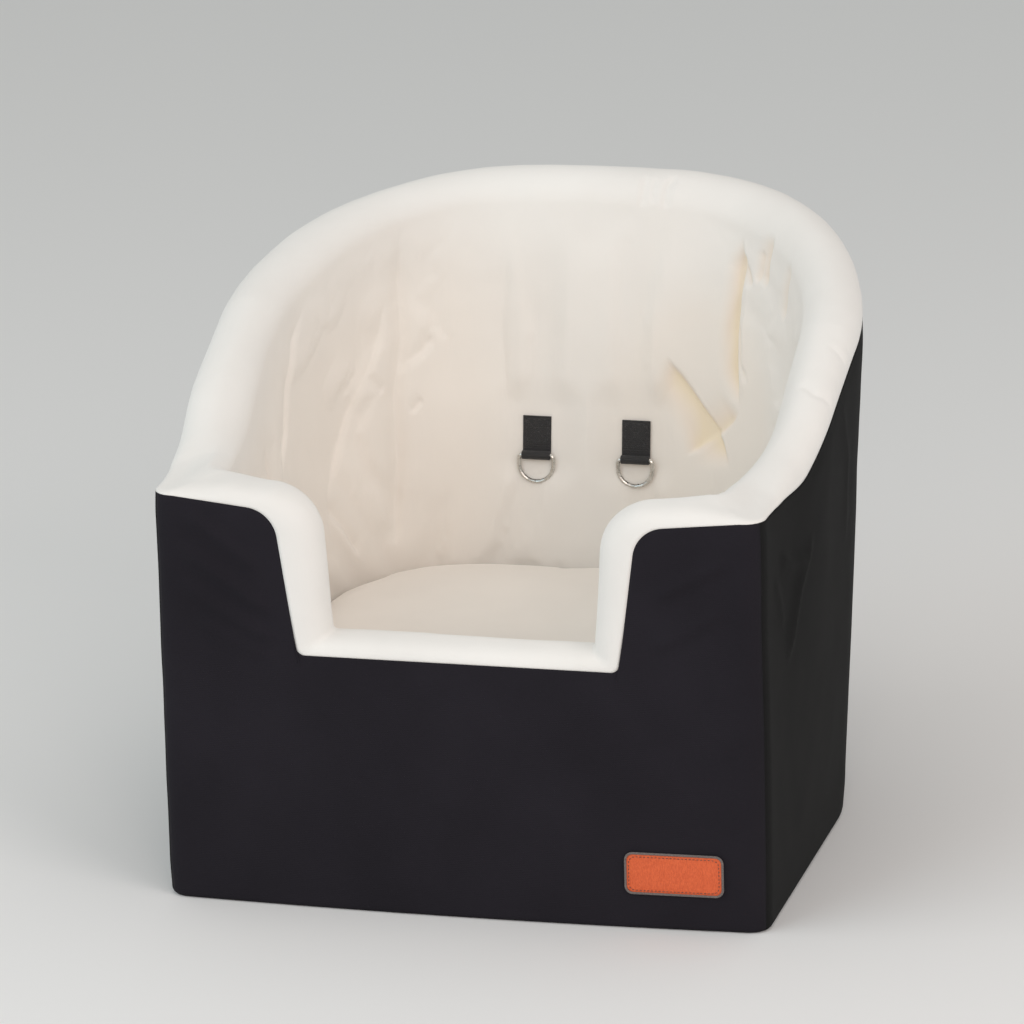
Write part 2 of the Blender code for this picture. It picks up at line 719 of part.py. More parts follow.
def make_zip(frame, tape, metal, plastic):
    for side, name in ((1, "left"), (-1, "right")):
        x = sorted((side * TAPE_INNER_X, side * TAPE_OUTER_X))
        web = box_object(f"{name}_zip_tape", (x[0], -TAPE_THICKNESS - CLEARANCE / 2, ZIP_BOTTOM),
                         (x[1], -CLEARANCE / 2, ZIP_TOP), tape)
        web.parent = frame
        make_teeth(side, name, frame, plastic)
    for name, low in (("zip_bottom_stop", ZIP_BOTTOM), ("zip_top_stop", ZIP_TOP - STOP_LENGTH)):
        stop = box_object(name, (-TOOTH_ROOT_X, -CHAIN_IN, low),
                          (TOOTH_ROOT_X, CHAIN_OUT, low + STOP_LENGTH), metal)
        bevel(stop, SLIDER_WALL / 3, 1)
        stop.parent = frame
    make_slider(frame, metal)
    make_pull(frame, metal)


def make_teeth(side, name, frame, plastic):
    """One row of teeth, moulded on a bead; the two rows alternate."""
    start = ZIP_BOTTOM + STOP_LENGTH + CLEARANCE
    end = ZIP_TOP - STOP_LENGTH - CLEARANCE
    middle = (TOOTH_ROOT_X + TOOTH_TIP_X) / 2
    x = sorted((side * middle, side * TOOTH_ROOT_X))
    row = box_object(f"{name}_zip_teeth", (x[0], -CHAIN_IN, start), (x[1], CHAIN_OUT, end), plastic)
    row.parent = frame
    low = start + ZIP_PITCH * (1 - TOOTH_SHARE) / 2 + (ZIP_PITCH / 2 if side < 0 else 0)
    x = sorted((side * TOOTH_TIP_X, side * (middle + CLEARANCE)))
    tooth = box_object(f"{name}_tooth", (x[0], -CHAIN_IN + CLEARANCE, low),
                       (x[1], CHAIN_OUT - CLEARANCE, low + ZIP_PITCH * TOOTH_SHARE), plastic, CUTTERS)
    tooth.parent = frame
    repeat = tooth.modifiers.new("repeat", "ARRAY")
    repeat.count = int((end - low) / ZIP_PITCH)
    repeat.use_relative_offset = False
    repeat.use_constant_offset = True
    repeat.constant_offset_displace = (0, 0, ZIP_PITCH)
    boolean(row, tooth, "UNION")


def slider_middle():
    """Height of the slider at rest, just under the top stop."""
    return ZIP_TOP - STOP_LENGTH - CLEARANCE - SLIDER_LENGTH / 2


def bar_out():
    """Distance of the pull's hinge bar from the face of the cover."""
    return CHAIN_OUT + SLIDER_RUN + SLIDER_PLATE + PULL_THICKNESS / 2 + SLIDER_RUN


def make_slider(frame, metal):
    """Two plates held by a post that runs between the rows of teeth, with a bridge for the pull."""
    half_x, half_z = SLIDER_WIDTH / 2, SLIDER_LENGTH / 2
    out_low = CHAIN_OUT + SLIDER_RUN
    in_high = -CHAIN_IN - SLIDER_RUN
    bm_parts = [
        ((-half_x, out_low, -half_z), (half_x, out_low + SLIDER_PLATE, half_z)),
        ((-half_x, in_high - SLIDER_PLATE, -half_z), (half_x, in_high, half_z)),
    ]
    tape_out, tape_in = SLIDER_RUN, -TAPE_THICKNESS - CLEARANCE - SLIDER_RUN
    for side in (-1, 1):
        x = sorted((side * (half_x - SLIDER_WALL), side * half_x))
        bm_parts.append(((x[0], tape_out, -half_z), (x[1], out_low + SLIDER_PLATE / 2, half_z)))
        bm_parts.append(((x[0], in_high - SLIDER_PLATE / 2, -half_z), (x[1], tape_in, half_z)))
    bm_parts.append(((-SLIDER_POST_HALF, in_high - SLIDER_PLATE / 2, half_z - SLIDER_POST_LENGTH),
                     (SLIDER_POST_HALF, out_low + SLIDER_PLATE / 2, half_z - SLIDER_POST_LENGTH / 4)))
    eye = PULL_BAR_RADIUS + SLIDER_RUN
    arch = bar_out() + eye
    x = BRIDGE_WIDTH / 2
    for side in (-1, 1):
        z = sorted((side * eye, side * (eye + BRIDGE_WALL)))
        bm_parts.append(((-x, out_low + SLIDER_PLATE / 2, z[0]), (x, arch + BRIDGE_WALL, z[1])))
    bm_parts.append(((-x, arch, -eye - BRIDGE_WALL / 2), (x, arch + BRIDGE_WALL, eye + BRIDGE_WALL / 2)))
    body = box_object("zip_slider", *bm_parts[0], metal)
    body.location = (0, 0, slider_middle())
    body.parent = frame
    for i, (low, high) in enumerate(bm_parts[1:]):
        piece = box_object(f"slider_piece_{i}", low, high, metal, CUTTERS)
        piece.location = (0, 0, slider_middle())
        piece.parent = frame
        boolean(body, piece, "UNION")


def make_pull(frame, metal):
    """The pull tab, hanging plumb: a bar under the slider's bridge, two arms beside it and a plate."""
    inner = BRIDGE_WIDTH / 2 + SLIDER_RUN
    arm = inner + PULL_ARM
    right = rounded([(0, PULL_BAR_RADIUS), (arm, PULL_BAR_RADIUS), (arm, -PULL_NECK),
                     (PULL_WIDTH / 2, -PULL_LENGTH), (0, -PULL_LENGTH)],
                    [PULL_TOP_RADIUS, PULL_SHOULDER_RADIUS, PULL_END_RADIUS], 3)
    plate = as_mesh(outline_object("zip_pull", mirrored(right[1:-1]), PULL_THICKNESS, metal,
                                   (0, 0, 0), (math.pi / 2, 0, 0)))
    plate.location = (0, bar_out(), slider_middle())
    plate.rotation_euler = (math.pi / 2 + BACK_ANGLE, 0, 0)
    plate.parent = frame
    top = -PULL_BAR_RADIUS * PULL_BAR_SHARE
    window = box_object("pull_window", (-inner, -OVERRUN, -PULL_NECK), (inner, OVERRUN, top), metal, CUTTERS)
    window.location = plate.location
    window.rotation_euler = (BACK_ANGLE, 0, 0)
    window.parent = frame
    boolean(plate, window, "DIFFERENCE")


# Webbing

def make_belt_loops(frame, webbing):
    """Two upright straps, sewn down at both ends, that stand clear of the back between them."""
    for side, name in ((1, "left"), (-1, "right")):
        sewn = CLEARANCE + LOOP_WEB / 2
        stand = LOOP_STAND + LOOP_WEB / 2
        z = LOOP_BASE
        line = [(sewn, z), (sewn, z + LOOP_SEWN)]
        for share in (0.25, 0.5, 0.75, 1.0):
            line.append((sewn + (stand - sewn) * ease(share), z + LOOP_SEWN + LOOP_RAMP * share))
        whole = 2 * (LOOP_SEWN + LOOP_RAMP) + LOOP_SPAN
        line += [(n, 2 * z + whole - at) for n, at in reversed(line)]
        strap = outline_object(f"{name}_belt_loop", strip_outline(line, LOOP_WEB), LOOP_WIDTH, webbing,
                               (side * LOOP_X, 0, 0), (math.pi / 2, 0, math.pi / 2))
        strap.parent = frame


def make_tether_rings(frame, webbing, metal):
    """A D-ring on each side of the middle, held by a webbing tab and hanging against the liner."""
    bar_depth = CLEARANCE + TAB_EYE + TAB_WEB
    half = RING_CLEAR_WIDTH / 2 + RING_WIRE
    rest = math.asin((bar_depth - RING_WIRE - CLEARANCE) / (RING_DROP + half))
    for side, name in ((1, "left"), (-1, "right")):
        x = side * RING_X
        eye = TAB_EYE + TAB_WEB / 2
        line = [(-CLEARANCE - TAB_WEB / 2, TAB_LENGTH)]
        for angle in spaced(0, 1.82 * math.pi, 14):
            line.append((-bar_depth + eye * math.cos(angle), -eye * math.sin(angle)))
        tab = outline_object(f"{name}_ring_tab", strip_outline(line, TAB_WEB), TAB_WIDTH, webbing,
                             (x, 0, RING_AXIS_HEIGHT), (math.pi / 2, 0, math.pi / 2))
        tab.parent = frame
        path = rounded([(0, 0), (half, 0), (half, -RING_DROP)], [RING_CORNER], 3)
        for angle in spaced(0, math.pi / 2, 6)[1:]:
            path.append(Vector((half * math.cos(angle), -RING_DROP - half * math.sin(angle))))
        loop = mirrored(path[1:-1])
        loop.insert(len(path) - 2, path[-1])
        ring = wire_object(f"{name}_tether_ring", [(p.x, 0, p.y) for p in loop], RING_WIRE, metal)
        ring.location = (x, -bar_depth, RING_AXIS_HEIGHT)
        ring.rotation_euler = (rest, 0, 0)
        ring.parent = frame


def make_patch(woven):
    half_x, half_z = PATCH_WIDTH / 2, PATCH_HEIGHT / 2
    quarter = rounded([(0, half_z), (half_x, half_z), (half_x, 0)], [PATCH_RADIUS])[1:-1]
    right = quarter + [Vector((p.x, -p.y)) for p in reversed(quarter)]
    outline_object("label_patch", mirrored(right), PATCH_THICKNESS, woven,
                   (HALF - PATCH_SIDE_GAP - half_x, FRONT_Y - CLEARANCE - PATCH_THICKNESS / 2,
                    PATCH_BASE_GAP + half_z), (math.pi / 2, 0, 0))


def main():
    clear_scene()
    canvas = material("charcoal canvas", (0.020, 0.018, 0.023), 0.85)
    cream = material("cream padded fabric", (0.78, 0.74, 0.66), 0.9)
    foam = material("foam", (0.75, 0.70, 0.52), 0.95)
    webbing = material("black webbing", (0.012, 0.012, 0.014), 0.8)
    plastic = material("zip plastic", (0.02, 0.02, 0.022), 0.4)
    metal = material("nickel", (0.62, 0.61, 0.58), 0.25, 1.0)
    woven = material("woven patch", (0.55, 0.14, 0.05), 0.8)

    make_base(canvas, cream, foam)
    make_front_cover(canvas)
    make_front_foam(foam)
    make_front(cream, foam)
    make_side(1, "left", canvas, foam, cream)
    make_side(-1, "right", canvas, foam, cream)
    make_cushion(cream, foam)
    outside = back_frame("back_face", 0)
    make_zip(outside, canvas, metal, plastic)
    make_belt_loops(outside, webbing)
    make_tether_rings(back_frame("inner_back_face", WALL), webbing, metal)
    make_patch(woven)


main()
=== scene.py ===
"""Looks of the dog car seat: canvas cover, padded liner, cushion, webbing, zip and patch.

Metres, +Z up, front towards -Y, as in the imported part. A place on the wall is given as there: u is the
distance along the outside of the footprint from the middle of the front, d the depth inwards from the outer
face, and z the height.
"""
import math
from contextlib import contextmanager

import bmesh
import bpy
import numpy as np
from mathutils import Matrix, Vector, noise


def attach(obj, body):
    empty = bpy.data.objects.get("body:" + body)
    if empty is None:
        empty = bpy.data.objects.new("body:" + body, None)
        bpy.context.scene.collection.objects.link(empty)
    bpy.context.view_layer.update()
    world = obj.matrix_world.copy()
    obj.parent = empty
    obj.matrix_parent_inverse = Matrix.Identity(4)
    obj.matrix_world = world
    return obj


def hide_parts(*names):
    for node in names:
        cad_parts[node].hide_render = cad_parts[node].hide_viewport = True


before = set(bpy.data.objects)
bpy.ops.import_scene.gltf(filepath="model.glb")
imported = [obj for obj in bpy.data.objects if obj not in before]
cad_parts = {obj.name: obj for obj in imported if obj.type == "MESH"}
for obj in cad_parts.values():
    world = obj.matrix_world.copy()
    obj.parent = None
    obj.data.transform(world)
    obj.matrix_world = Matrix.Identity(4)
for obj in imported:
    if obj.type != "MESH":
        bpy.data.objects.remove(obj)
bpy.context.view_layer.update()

# Sizes of the wall, as in the part
WIDTH = 0.508
DEPTH = 0.457
FRONT_RADIUS = 0.018
BACK_FLAT = 0.144
INNER_FRONT_RADIUS = 0.010
ARM_HEIGHT = 0.361
ARM_RISE = 0.009
BACK_HEIGHT = 0.503
SWEEP_GAP = 0.0387
SWEEP_START_SHARE = 0.17
SWEEP_END_SHARE = 0.51
SWEEP_POWER = 0.75
SIDE_FLARE = 0.046
BACK_LEAN = 0.140
LEAN_LENGTH = 0.171
WALL = 0.0504
SEAM_LIP_HEIGHT = 0.217
SEAM_LIP_HALF = 0.1345
SEAM_TOP_HALF = 0.151
SEAM_LIP_RADIUS = 0.008
SEAM_SHOULDER_RADIUS = 0.028
RIM_LIP_HEIGHT = 0.231
RIM_LIP_HALF = 0.1105
RIM_TOP_HALF = 0.1185
RIM_LIP_RADIUS = 0.004
RIM_SHOULDER_RADIUS = 0.045
NOTCH_ZONE = 0.165
FRONT_RIM_RISE = 0.0135
SIDE_RIM_RISE = 0.025
RISE_GAP = 0.0417
RISE_LENGTH = 0.066
LINER_FLOOR_TOP = 0.1360

HALF = WIDTH / 2
REAR_RADIUS = (WIDTH - BACK_FLAT) / 2
FRONT_Y = -DEPTH / 2
FRONT_END = HALF - FRONT_RADIUS
CORNER_END = FRONT_END + FRONT_RADIUS * math.pi / 2
SIDE_LENGTH = DEPTH - FRONT_RADIUS - REAR_RADIUS
SIDE_END = CORNER_END + SIDE_LENGTH
ARC_END = SIDE_END + REAR_RADIUS * math.pi / 2
BACK_MIDDLE = ARC_END + BACK_FLAT / 2
SWEEP_START = CORNER_END + SWEEP_GAP
RISE_START = CORNER_END + RISE_GAP
ARM_SEAM = ARM_HEIGHT - FRONT_RIM_RISE
BACK_ANGLE = math.atan(BACK_LEAN)

CLEARANCE = 0.0003
COVER_THICKNESS = 0.0015
CUSHION_SIDE_GAP = 0.004
CUSHION_BASE = LINER_FLOOR_TOP + CLEARANCE
CUSHION_SEAM = 0.152
CUSHION_CROWN = 0.178
ZIP_BOTTOM = 0.030
ZIP_TOP = 0.46296
ZIP_HALF = 0.018
ZIP_LOW = ZIP_BOTTOM * math.cos(BACK_ANGLE)
ZIP_HIGH = ZIP_TOP * math.cos(BACK_ANGLE)
TAPE_THICKNESS = 0.0012
TAPE_OUTER_X = 0.0177
TAPE_INNER_X = 0.0033
LOOP_X = 0.0425
LOOP_WIDTH = 0.038
LOOP_WEB = 0.0016
LOOP_BASE = 0.150
LOOP_SEWN = 0.020
LOOP_RAMP = 0.014
LOOP_SPAN = 0.056
LOOP_STAND = 0.0125
RING_X = 0.044
RING_AXIS_HEIGHT = 0.262
TAB_WIDTH = 0.025
TAB_WEB = 0.0014
TAB_EYE = 0.0024
TAB_LENGTH = 0.034
PATCH_SIDE_GAP = 0.036
PATCH_BASE_GAP = 0.032
PATCH_WIDTH = 0.080
PATCH_HEIGHT = 0.034
PATCH_RADIUS = 0.006

SIDES = ((1, "left"), (-1, "right"))
TINY = 1e-9  # keeps a length from being zero
SEWING_ALLOWANCE = 1.01

# Soft shapes
STEP = 0.006  # spacing of the liner's simulated grid
LINER_COUNTS = (18, 6, 18, 11, 12)  # columns on the notch's lip, corner, upright, shoulder and arm
COVER_COUNTS = (34, 10, 36, 16, 22)
ROLL_STEPS = 16
WALL_STEPS = 51
LINER_CROWN = 0.0020
LINER_BACKING = 0.005
RIM_BULGE = 0.0010  # how far the rim swells out over its seam
CORNER_PINCH = 0.009  # how far the rim is drawn in at the front corners
CORNER_PINCH_REACH = 0.075
PUFF_PRESSURE = 0.6
PUFF_SLACK = 0.008
PUFF_FRAMES = 16
PINNED_ROWS = (0.9, 1.97)  # the liner is held before the first of these rows and after the second
FOLD_ZONE = 0.40  # the liner's columns are finer from here to the middle of the back
FINE_PARTS = 4
PUFF_CAP = 0.0032  # how far a point may move in the simulation
PUFF_SINK = 0.0008  # and how far back towards the foam
TAB_HOLD = 0.005  # the liner stays flat this far round a ring tab
TAB_EASE = 0.030
# Painted shade: a warmer, darker cream in the colour of the liner's walls and folds and of the cushion
WALL_PAINTED_SHADE = 0.22  # how far the walls' colour goes from the rim's to the warm painted shade, for light bounced round the cavity
FOLD_PAINTED_SHADE = (0.02, 0.62)  # painted shade added in the folds of the left and the right wall
FOLD_SHADE_FULL_DEPTH = 0.006  # depth of a fold from which it has all of that painted shade
PAINTED_SHADE_BASE = 0.40  # share of the walls' painted shade outside the places below
PAINTED_SHADE_PLACES = [((-0.55, 0.30), (0.34, 0.34)), ((0.76, 0.29), (0.13, 0.15))]  # places where the walls' painted shade is strongest: u and z, and the reach of each
BASE_ROUND = 0.005  # radius of the cover's bottom edge
CORNER_SEAM_SHARE = 0.62  # where on the front corner the front panel ends
FRONT_SWELL = 0.0065  # how far the front's padding pushes the canvas out along its bottom edge
FRONT_SWELL_LOW = 0.02
FRONT_SWELL_HIGH = 0.20
CUSHION_START = 0.004
CUSHION_CAP = 0.005


# The shape of the wall, for arrays of u, d and z

def ease(t):
    t = np.clip(t, 0.0, 1.0)
    return t * t * (3 - 2 * t)


def rim_height(u):
    t = np.clip((np.abs(u) - SWEEP_START) / (BACK_MIDDLE - SWEEP_START), 0.0, 1.0)
    slope = 1 / (1 - SWEEP_START_SHARE / 2 - SWEEP_END_SHARE / 2)
    start = slope * t ** 2 / (2 * SWEEP_START_SHARE)
    middle = slope * (t - SWEEP_START_SHARE / 2)
    end = 1 - slope * (1 - t) ** 2 / (2 * SWEEP_END_SHARE)
    share = np.where(t < SWEEP_START_SHARE, start, np.where(t < 1 - SWEEP_END_SHARE, middle, end))
    return ARM_HEIGHT + (BACK_HEIGHT - ARM_HEIGHT) * np.maximum(share, 0.0) ** SWEEP_POWER


def seam_height(u):
    share = ease((np.abs(u) - RISE_START) / RISE_LENGTH)
    return rim_height(u) - FRONT_RIM_RISE - (SIDE_RIM_RISE - FRONT_RIM_RISE) * share


def wall_points(u, d, z, mitre=True):
    """Points at u, d and z, with their horizontal outward normals.

    With mitre, the front corner turns inwards to the liner's inner radius, and the side's columns follow it.
    """
    u, d, z = np.broadcast_arrays(u, d, z)
    side, u = np.where(u < 0, -1.0, 1.0), np.abs(u)
    radius = np.maximum(FRONT_RADIUS - d, 0)
    if mitre:
        radius = FRONT_RADIUS + (INNER_FRONT_RADIUS - FRONT_RADIUS) * np.clip(d / WALL, 0, 1)
        on_side = (u >= CORNER_END) & (u < SIDE_END)
        u = np.where(on_side, u + (d + radius - FRONT_RADIUS) * (SIDE_END - u) / SIDE_LENGTH, u)
    end_x = HALF - d - radius
    zone = NOTCH_ZONE + (u - NOTCH_ZONE) * (end_x - NOTCH_ZONE) / (FRONT_END - NOTCH_ZONE)
    turn = np.clip((u - FRONT_END) / FRONT_RADIUS, 0, math.pi / 2)
    arc = np.clip((u - SIDE_END) / REAR_RADIUS, 0, math.pi / 2)
    cases = [u <= FRONT_END, u < CORNER_END, u < SIDE_END, u < ARC_END]
    x = np.select(cases, [
        np.where(u > NOTCH_ZONE, zone, u),
        end_x + radius * np.sin(turn),
        HALF - d,
        HALF - REAR_RADIUS + (REAR_RADIUS - d) * np.cos(arc)], BACK_MIDDLE - u)
    y = np.select(cases, [
        FRONT_Y + d,
        FRONT_Y + d + radius - radius * np.cos(turn),
        FRONT_Y + FRONT_RADIUS + u - CORNER_END,
        -FRONT_Y - REAR_RADIUS + (REAR_RADIUS - d) * np.sin(arc)], -FRONT_Y - d)
    nx = np.select(cases, [0, np.sin(turn), 1, np.cos(arc)], 0)
    ny = np.select(cases, [-1, -np.cos(turn), 0, np.sin(arc)], 1)
    lean = ease((u - CORNER_END) / LEAN_LENGTH)
    x = x + z * lean * SIDE_FLARE * nx
    y = y + z * lean * BACK_LEAN * ny
    return np.stack([side * x, y, z], -1), np.stack([side * nx, ny, np.zeros_like(nx)], -1)


def arc_line(start, corner, end, radius, count):
    """Points of the rounding at a corner between two straight lines."""
    start, corner, end = (np.array(p, float) for p in (start, corner, end))
    back = (start - corner) / np.linalg.norm(start - corner)
    on = (end - corner) / np.linalg.norm(end - corner)
    half = math.acos(back @ on) / 2
    centre = corner + (back + on) / np.linalg.norm(back + on) * radius / math.sin(half)
    first = corner + back * radius / math.tan(half) - centre
    last = corner + on * radius / math.tan(half) - centre
    turn = math.atan2(first[0] * last[1] - first[1] * last[0], first @ last)
    angles = np.linspace(0, turn, count)[:, None]
    sideways = np.array([-first[1], first[0]])
    return centre + first * np.cos(angles) + sideways * np.sin(angles)


def notch_line(lip_height, lip_half, top_half, top_height, lip_radius, shoulder_radius, counts):
    """Right half of a line round the notch, in x and z: lip, corner, upright, shoulder and arm."""
    corners = [(0, lip_height), (lip_half, lip_height),
               (top_half, top_height - ARM_RISE), (FRONT_END, top_height)]
    low = arc_line(corners[0], corners[1], corners[2], lip_radius, counts[1])
    high = arc_line(corners[1], corners[2], corners[3], shoulder_radius, counts[3])
    lip = np.linspace(corners[0], low[0], counts[0], endpoint=False)
    upright = np.linspace(low[-1], high[0], counts[2] + 1)[1:-1]
    arm = np.linspace(high[-1], corners[3], counts[4] + 1)[1:]
    return np.concatenate([lip, low, upright, high, arm])


def loop_columns(counts):
    """The columns of the loop round the seat, right half: seam and rim as (u, z) and u on the floor."""
    seam = notch_line(SEAM_LIP_HEIGHT, SEAM_LIP_HALF, SEAM_TOP_HALF, ARM_SEAM,
                      SEAM_LIP_RADIUS, SEAM_SHOULDER_RADIUS, counts)
    rim = notch_line(RIM_LIP_HEIGHT, RIM_LIP_HALF, RIM_TOP_HALF, ARM_HEIGHT,
                     RIM_LIP_RADIUS, RIM_SHOULDER_RADIUS, counts)
    floor_u = np.linspace(0, FRONT_END, len(seam))
    corner = np.linspace(FRONT_END, CORNER_END, 6)[1:]
    side = np.linspace(CORNER_END, BACK_MIDDLE, int((BACK_MIDDLE - CORNER_END) / STEP))[1:]
    rest = np.concatenate([corner, side])
    seam = np.concatenate([seam, np.stack([rest, seam_height(rest)], -1)])
    rim = np.concatenate([rim, np.stack([rest, rim_height(rest)], -1)])
    return seam, rim, np.concatenate([floor_u, rest])


# Materials

class Finish:
    """A procedural material. Names of inputs are those of Blender's sockets, with _ for a space."""

    def __init__(self, name, **inputs):
        self.material = bpy.data.materials.new(name)
        self.material.use_nodes = True
        self.tree = self.material.node_tree
        self.shader = self.tree.nodes["Principled BSDF"]
        for socket, value in inputs.items():
            self.put(self.shader.inputs[socket.replace("_", " ")], value)

    def put(self, socket, value):
        """Links another node's output to a socket, or sets the socket's own value."""
        if isinstance(value, bpy.types.NodeSocket):
            self.tree.links.new(value, socket)
        else:
            socket.default_value = value

    def node(self, kind, **inputs):
        made = self.tree.nodes.new("ShaderNode" + kind)
        for socket, value in inputs.items():
            self.put(made.inputs[socket], value)
        return made

    def coordinates(self):
        return self.node("TexCoord").outputs["Object"]

    def ramp(self, source, low, high, ends=(0.35, 0.65)):
        made = self.node("ValToRGB", Fac=source)
        for stop, place, colour in zip(made.color_ramp.elements, ends, (low, high)):
            stop.position = place
            stop.color = (*colour, 1)
        return made.outputs["Color"]

    def noise(self, scale, detail, stretch=None):
        place = self.coordinates()
        if stretch:
            place = self.node("Mapping", Scale=stretch, Vector=place).outputs["Vector"]
        return self.node("TexNoise", Scale=scale, Detail=detail, Vector=place).outputs["Fac"]

    def bump(self, height, strength, distance, **under):
        made = self.node("Bump", Height=height, Strength=strength, Distance=distance, **under)
        return made.outputs["Normal"]

    def maths(self, operation, *values):
        made = self.node("Math")
        made.operation = operation
        for socket, value in zip(made.inputs, values):
            self.put(socket, value)
        return made.outputs[0]

    def weave(self, threads):
        """Over and under of a plain weave, threads a metre, from two crossed waves in each plane."""
        split = self.node("SeparateXYZ", Vector=self.coordinates())
        turns = [self.maths("MULTIPLY", split.outputs[axis], threads * math.pi) for axis in "XYZ"]
        x, y, z = (self.maths("SINE", turn) for turn in turns)
        return self.maths("MULTIPLY", self.maths("ADD", x, y), z)

    def done(self, colour, normal):
        self.put(self.shader.inputs["Base Color"], colour)
        self.put(self.shader.inputs["Normal"], normal)
        return self.material


def canvas_material(name, low, high):
    made = Finish(name, Roughness=0.85, Specular_IOR_Level=0.18)
    slub = made.bump(made.noise(420.0, 2.0, (1, 1, 0.25)), strength=0.18, distance=0.0006)
    weave = made.bump(made.weave(1300), strength=0.25, distance=0.00025, Normal=slub)
    return made.done(made.ramp(made.noise(9.0, 6.0), low, high), weave)


def cream_material():
    """Cream fabric, with a warmer, darker painted shade mixed into its colour by the mesh's attribute: it
    stands in for light bounced round the inside of the seat and for shade in the folds.
    """
    made = Finish("cream_fabric", Roughness=0.9, Specular_IOR_Level=0.2,
                  Sheen_Weight=0.25, Sheen_Roughness=0.6)
    painted_shade_amount = made.node("Attribute")
    painted_shade_amount.attribute_name = "painted_warm_shade"
    # The ramp goes from the rim's cream to a warmer, darker cream: painted shade, for light bounced round the
    # inside of the seat and for shade in the folds.
    painted_shade_ramp = made.node("ValToRGB", Fac=painted_shade_amount.outputs["Fac"])
    painted_shade_ramp.color_ramp.elements[0].color = (0.822, 0.809, 0.780, 1)
    painted_shade_ramp.color_ramp.elements[1].color = (0.860, 0.745, 0.540, 1)
    painted_shade_ramp.color_ramp.elements.new(0.5).color = (0.862, 0.775, 0.680, 1)
    mixed = made.node("Mix")
    mixed.data_type, mixed.blend_type = "RGBA", "MULTIPLY"
    blotch = made.ramp(made.noise(6.0, 5.0), (0.943, 0.939, 0.936), (1, 1, 1))
    factor, first, second = (mixed.inputs[i] for i in (0, 6, 7))  # the sockets of a mix of colours
    factor.default_value = 1.0
    made.put(first, painted_shade_ramp.outputs["Color"])
    made.put(second, blotch)
    nap = made.bump(made.noise(900.0, 3.0), strength=0.12, distance=0.0005)
    brushed = made.bump(made.noise(60.0, 5.0, (1, 1, 0.4)), strength=0.10, distance=0.0015, Normal=nap)
    return made.done(mixed.outputs[2], brushed)


def foam_material():
    made = Finish("open_cell_foam", Roughness=0.95)
    cells = made.node("TexVoronoi", Scale=700.0, Vector=made.coordinates()).outputs["Distance"]
    colour = made.ramp(cells, (0.78, 0.72, 0.52), (0.60, 0.53, 0.34), (0.2, 0.8))
    return made.done(colour, made.bump(cells, strength=0.5, distance=0.0008))


def webbing_material(name, colour, ribs):
    made = Finish(name, Roughness=0.7, Sheen_Weight=0.15)
    light = [1.8 * c for c in colour]
    grain = made.ramp(made.noise(1500.0, 2.0), colour, light)
    return made.done(grain, made.bump(made.weave(ribs), strength=0.5, distance=0.0004))


def plastic_material():
    made = Finish("zip_tooth_plastic", Roughness=0.38)
    grain = made.noise(500.0, 2.0)
    colour = made.ramp(grain, (0.014, 0.014, 0.016), (0.026, 0.026, 0.029))
    return made.done(colour, made.bump(grain, strength=0.05, distance=0.0002))


def metal_material():
    made = Finish("nickel_plate", Metallic=1.0)
    grain = made.noise(300.0, 4.0)
    made.put(made.shader.inputs["Roughness"], made.ramp(grain, (0.20, 0.20, 0.20), (0.34, 0.34, 0.34)))
    colour = made.ramp(grain, (0.56, 0.55, 0.52), (0.68, 0.67, 0.64))
    return made.done(colour, made.bump(grain, strength=0.04, distance=0.0002))


def patch_material():
    made = Finish("woven_patch", Roughness=0.65)
    colour = made.ramp(made.noise(1200.0, 2.0, (1, 1, 0.3)), (0.68, 0.105, 0.028), (0.80, 0.145, 0.042))
    return made.done(colour, made.bump(made.weave(2400), strength=0.5, distance=0.0003))


# Building blocks

@contextmanager
def editing(mesh):
    """A mesh as a BMesh, written back to it afterwards."""
    bm = bmesh.new()
    bm.from_mesh(mesh)
    yield bm
    bm.to_mesh(mesh)
    bm.free()


def link(name, mesh, finish):
    recolour(mesh, finish)
    obj = bpy.data.objects.new(name, mesh)
    bpy.context.scene.collection.objects.link(obj)
    return obj


def grid_object(name, points, finish, wrap=False, keep=None):
    """A sheet through a grid of points; keep says which of its faces stay."""
    index = np.arange(points[..., 0].size).reshape(points.shape[:2])
    if wrap:
        index = np.concatenate([index, index[:1]])
    faces = np.stack([index[:-1, :-1], index[1:, :-1], index[1:, 1:], index[:-1, 1:]], -1)
    faces = faces[keep] if keep is not None else faces.reshape(-1, 4)
    mesh = bpy.data.meshes.new(name)
    mesh.from_pydata(points.reshape(-1, 3).tolist(), [], faces.tolist())
    mesh.shade_smooth()
    obj = link(name, mesh, finish)
    if keep is not None:
        with editing(mesh) as bm:
            bmesh.ops.delete(bm, geom=[v for v in bm.verts if not v.link_faces], context="VERTS")
    return obj


def capped(sheet, steps, towards):
    """Closes the inner end of a grid that has steps points a row, and turns its faces towards a direction."""
    with editing(sheet.data) as bm:
        bm.verts.ensure_lookup_table()
        bm.faces.new([bm.verts[i] for i in range(steps - 1, len(bm.verts), steps)])
        bmesh.ops.recalc_face_normals(bm, faces=bm.faces)
        if sum(face.normal.dot(towards) for face in bm.faces) < 0:
            bmesh.ops.reverse_faces(bm, faces=bm.faces)
    sheet.data.shade_smooth()


def set_painted_warm_shade(mesh, values):
    """Sets how much warm painted shade a cream mesh's colour has at each of its points."""
    painted_warm_shade = mesh.attributes.new("painted_warm_shade", "FLOAT", "POINT")
    painted_warm_shade.data.foreach_set("value", values)


def coordinates_of(mesh):
    flat = np.empty(len(mesh.vertices) * 3)
    mesh.vertices.foreach_get("co", flat)
    return flat.reshape(-1, 3)


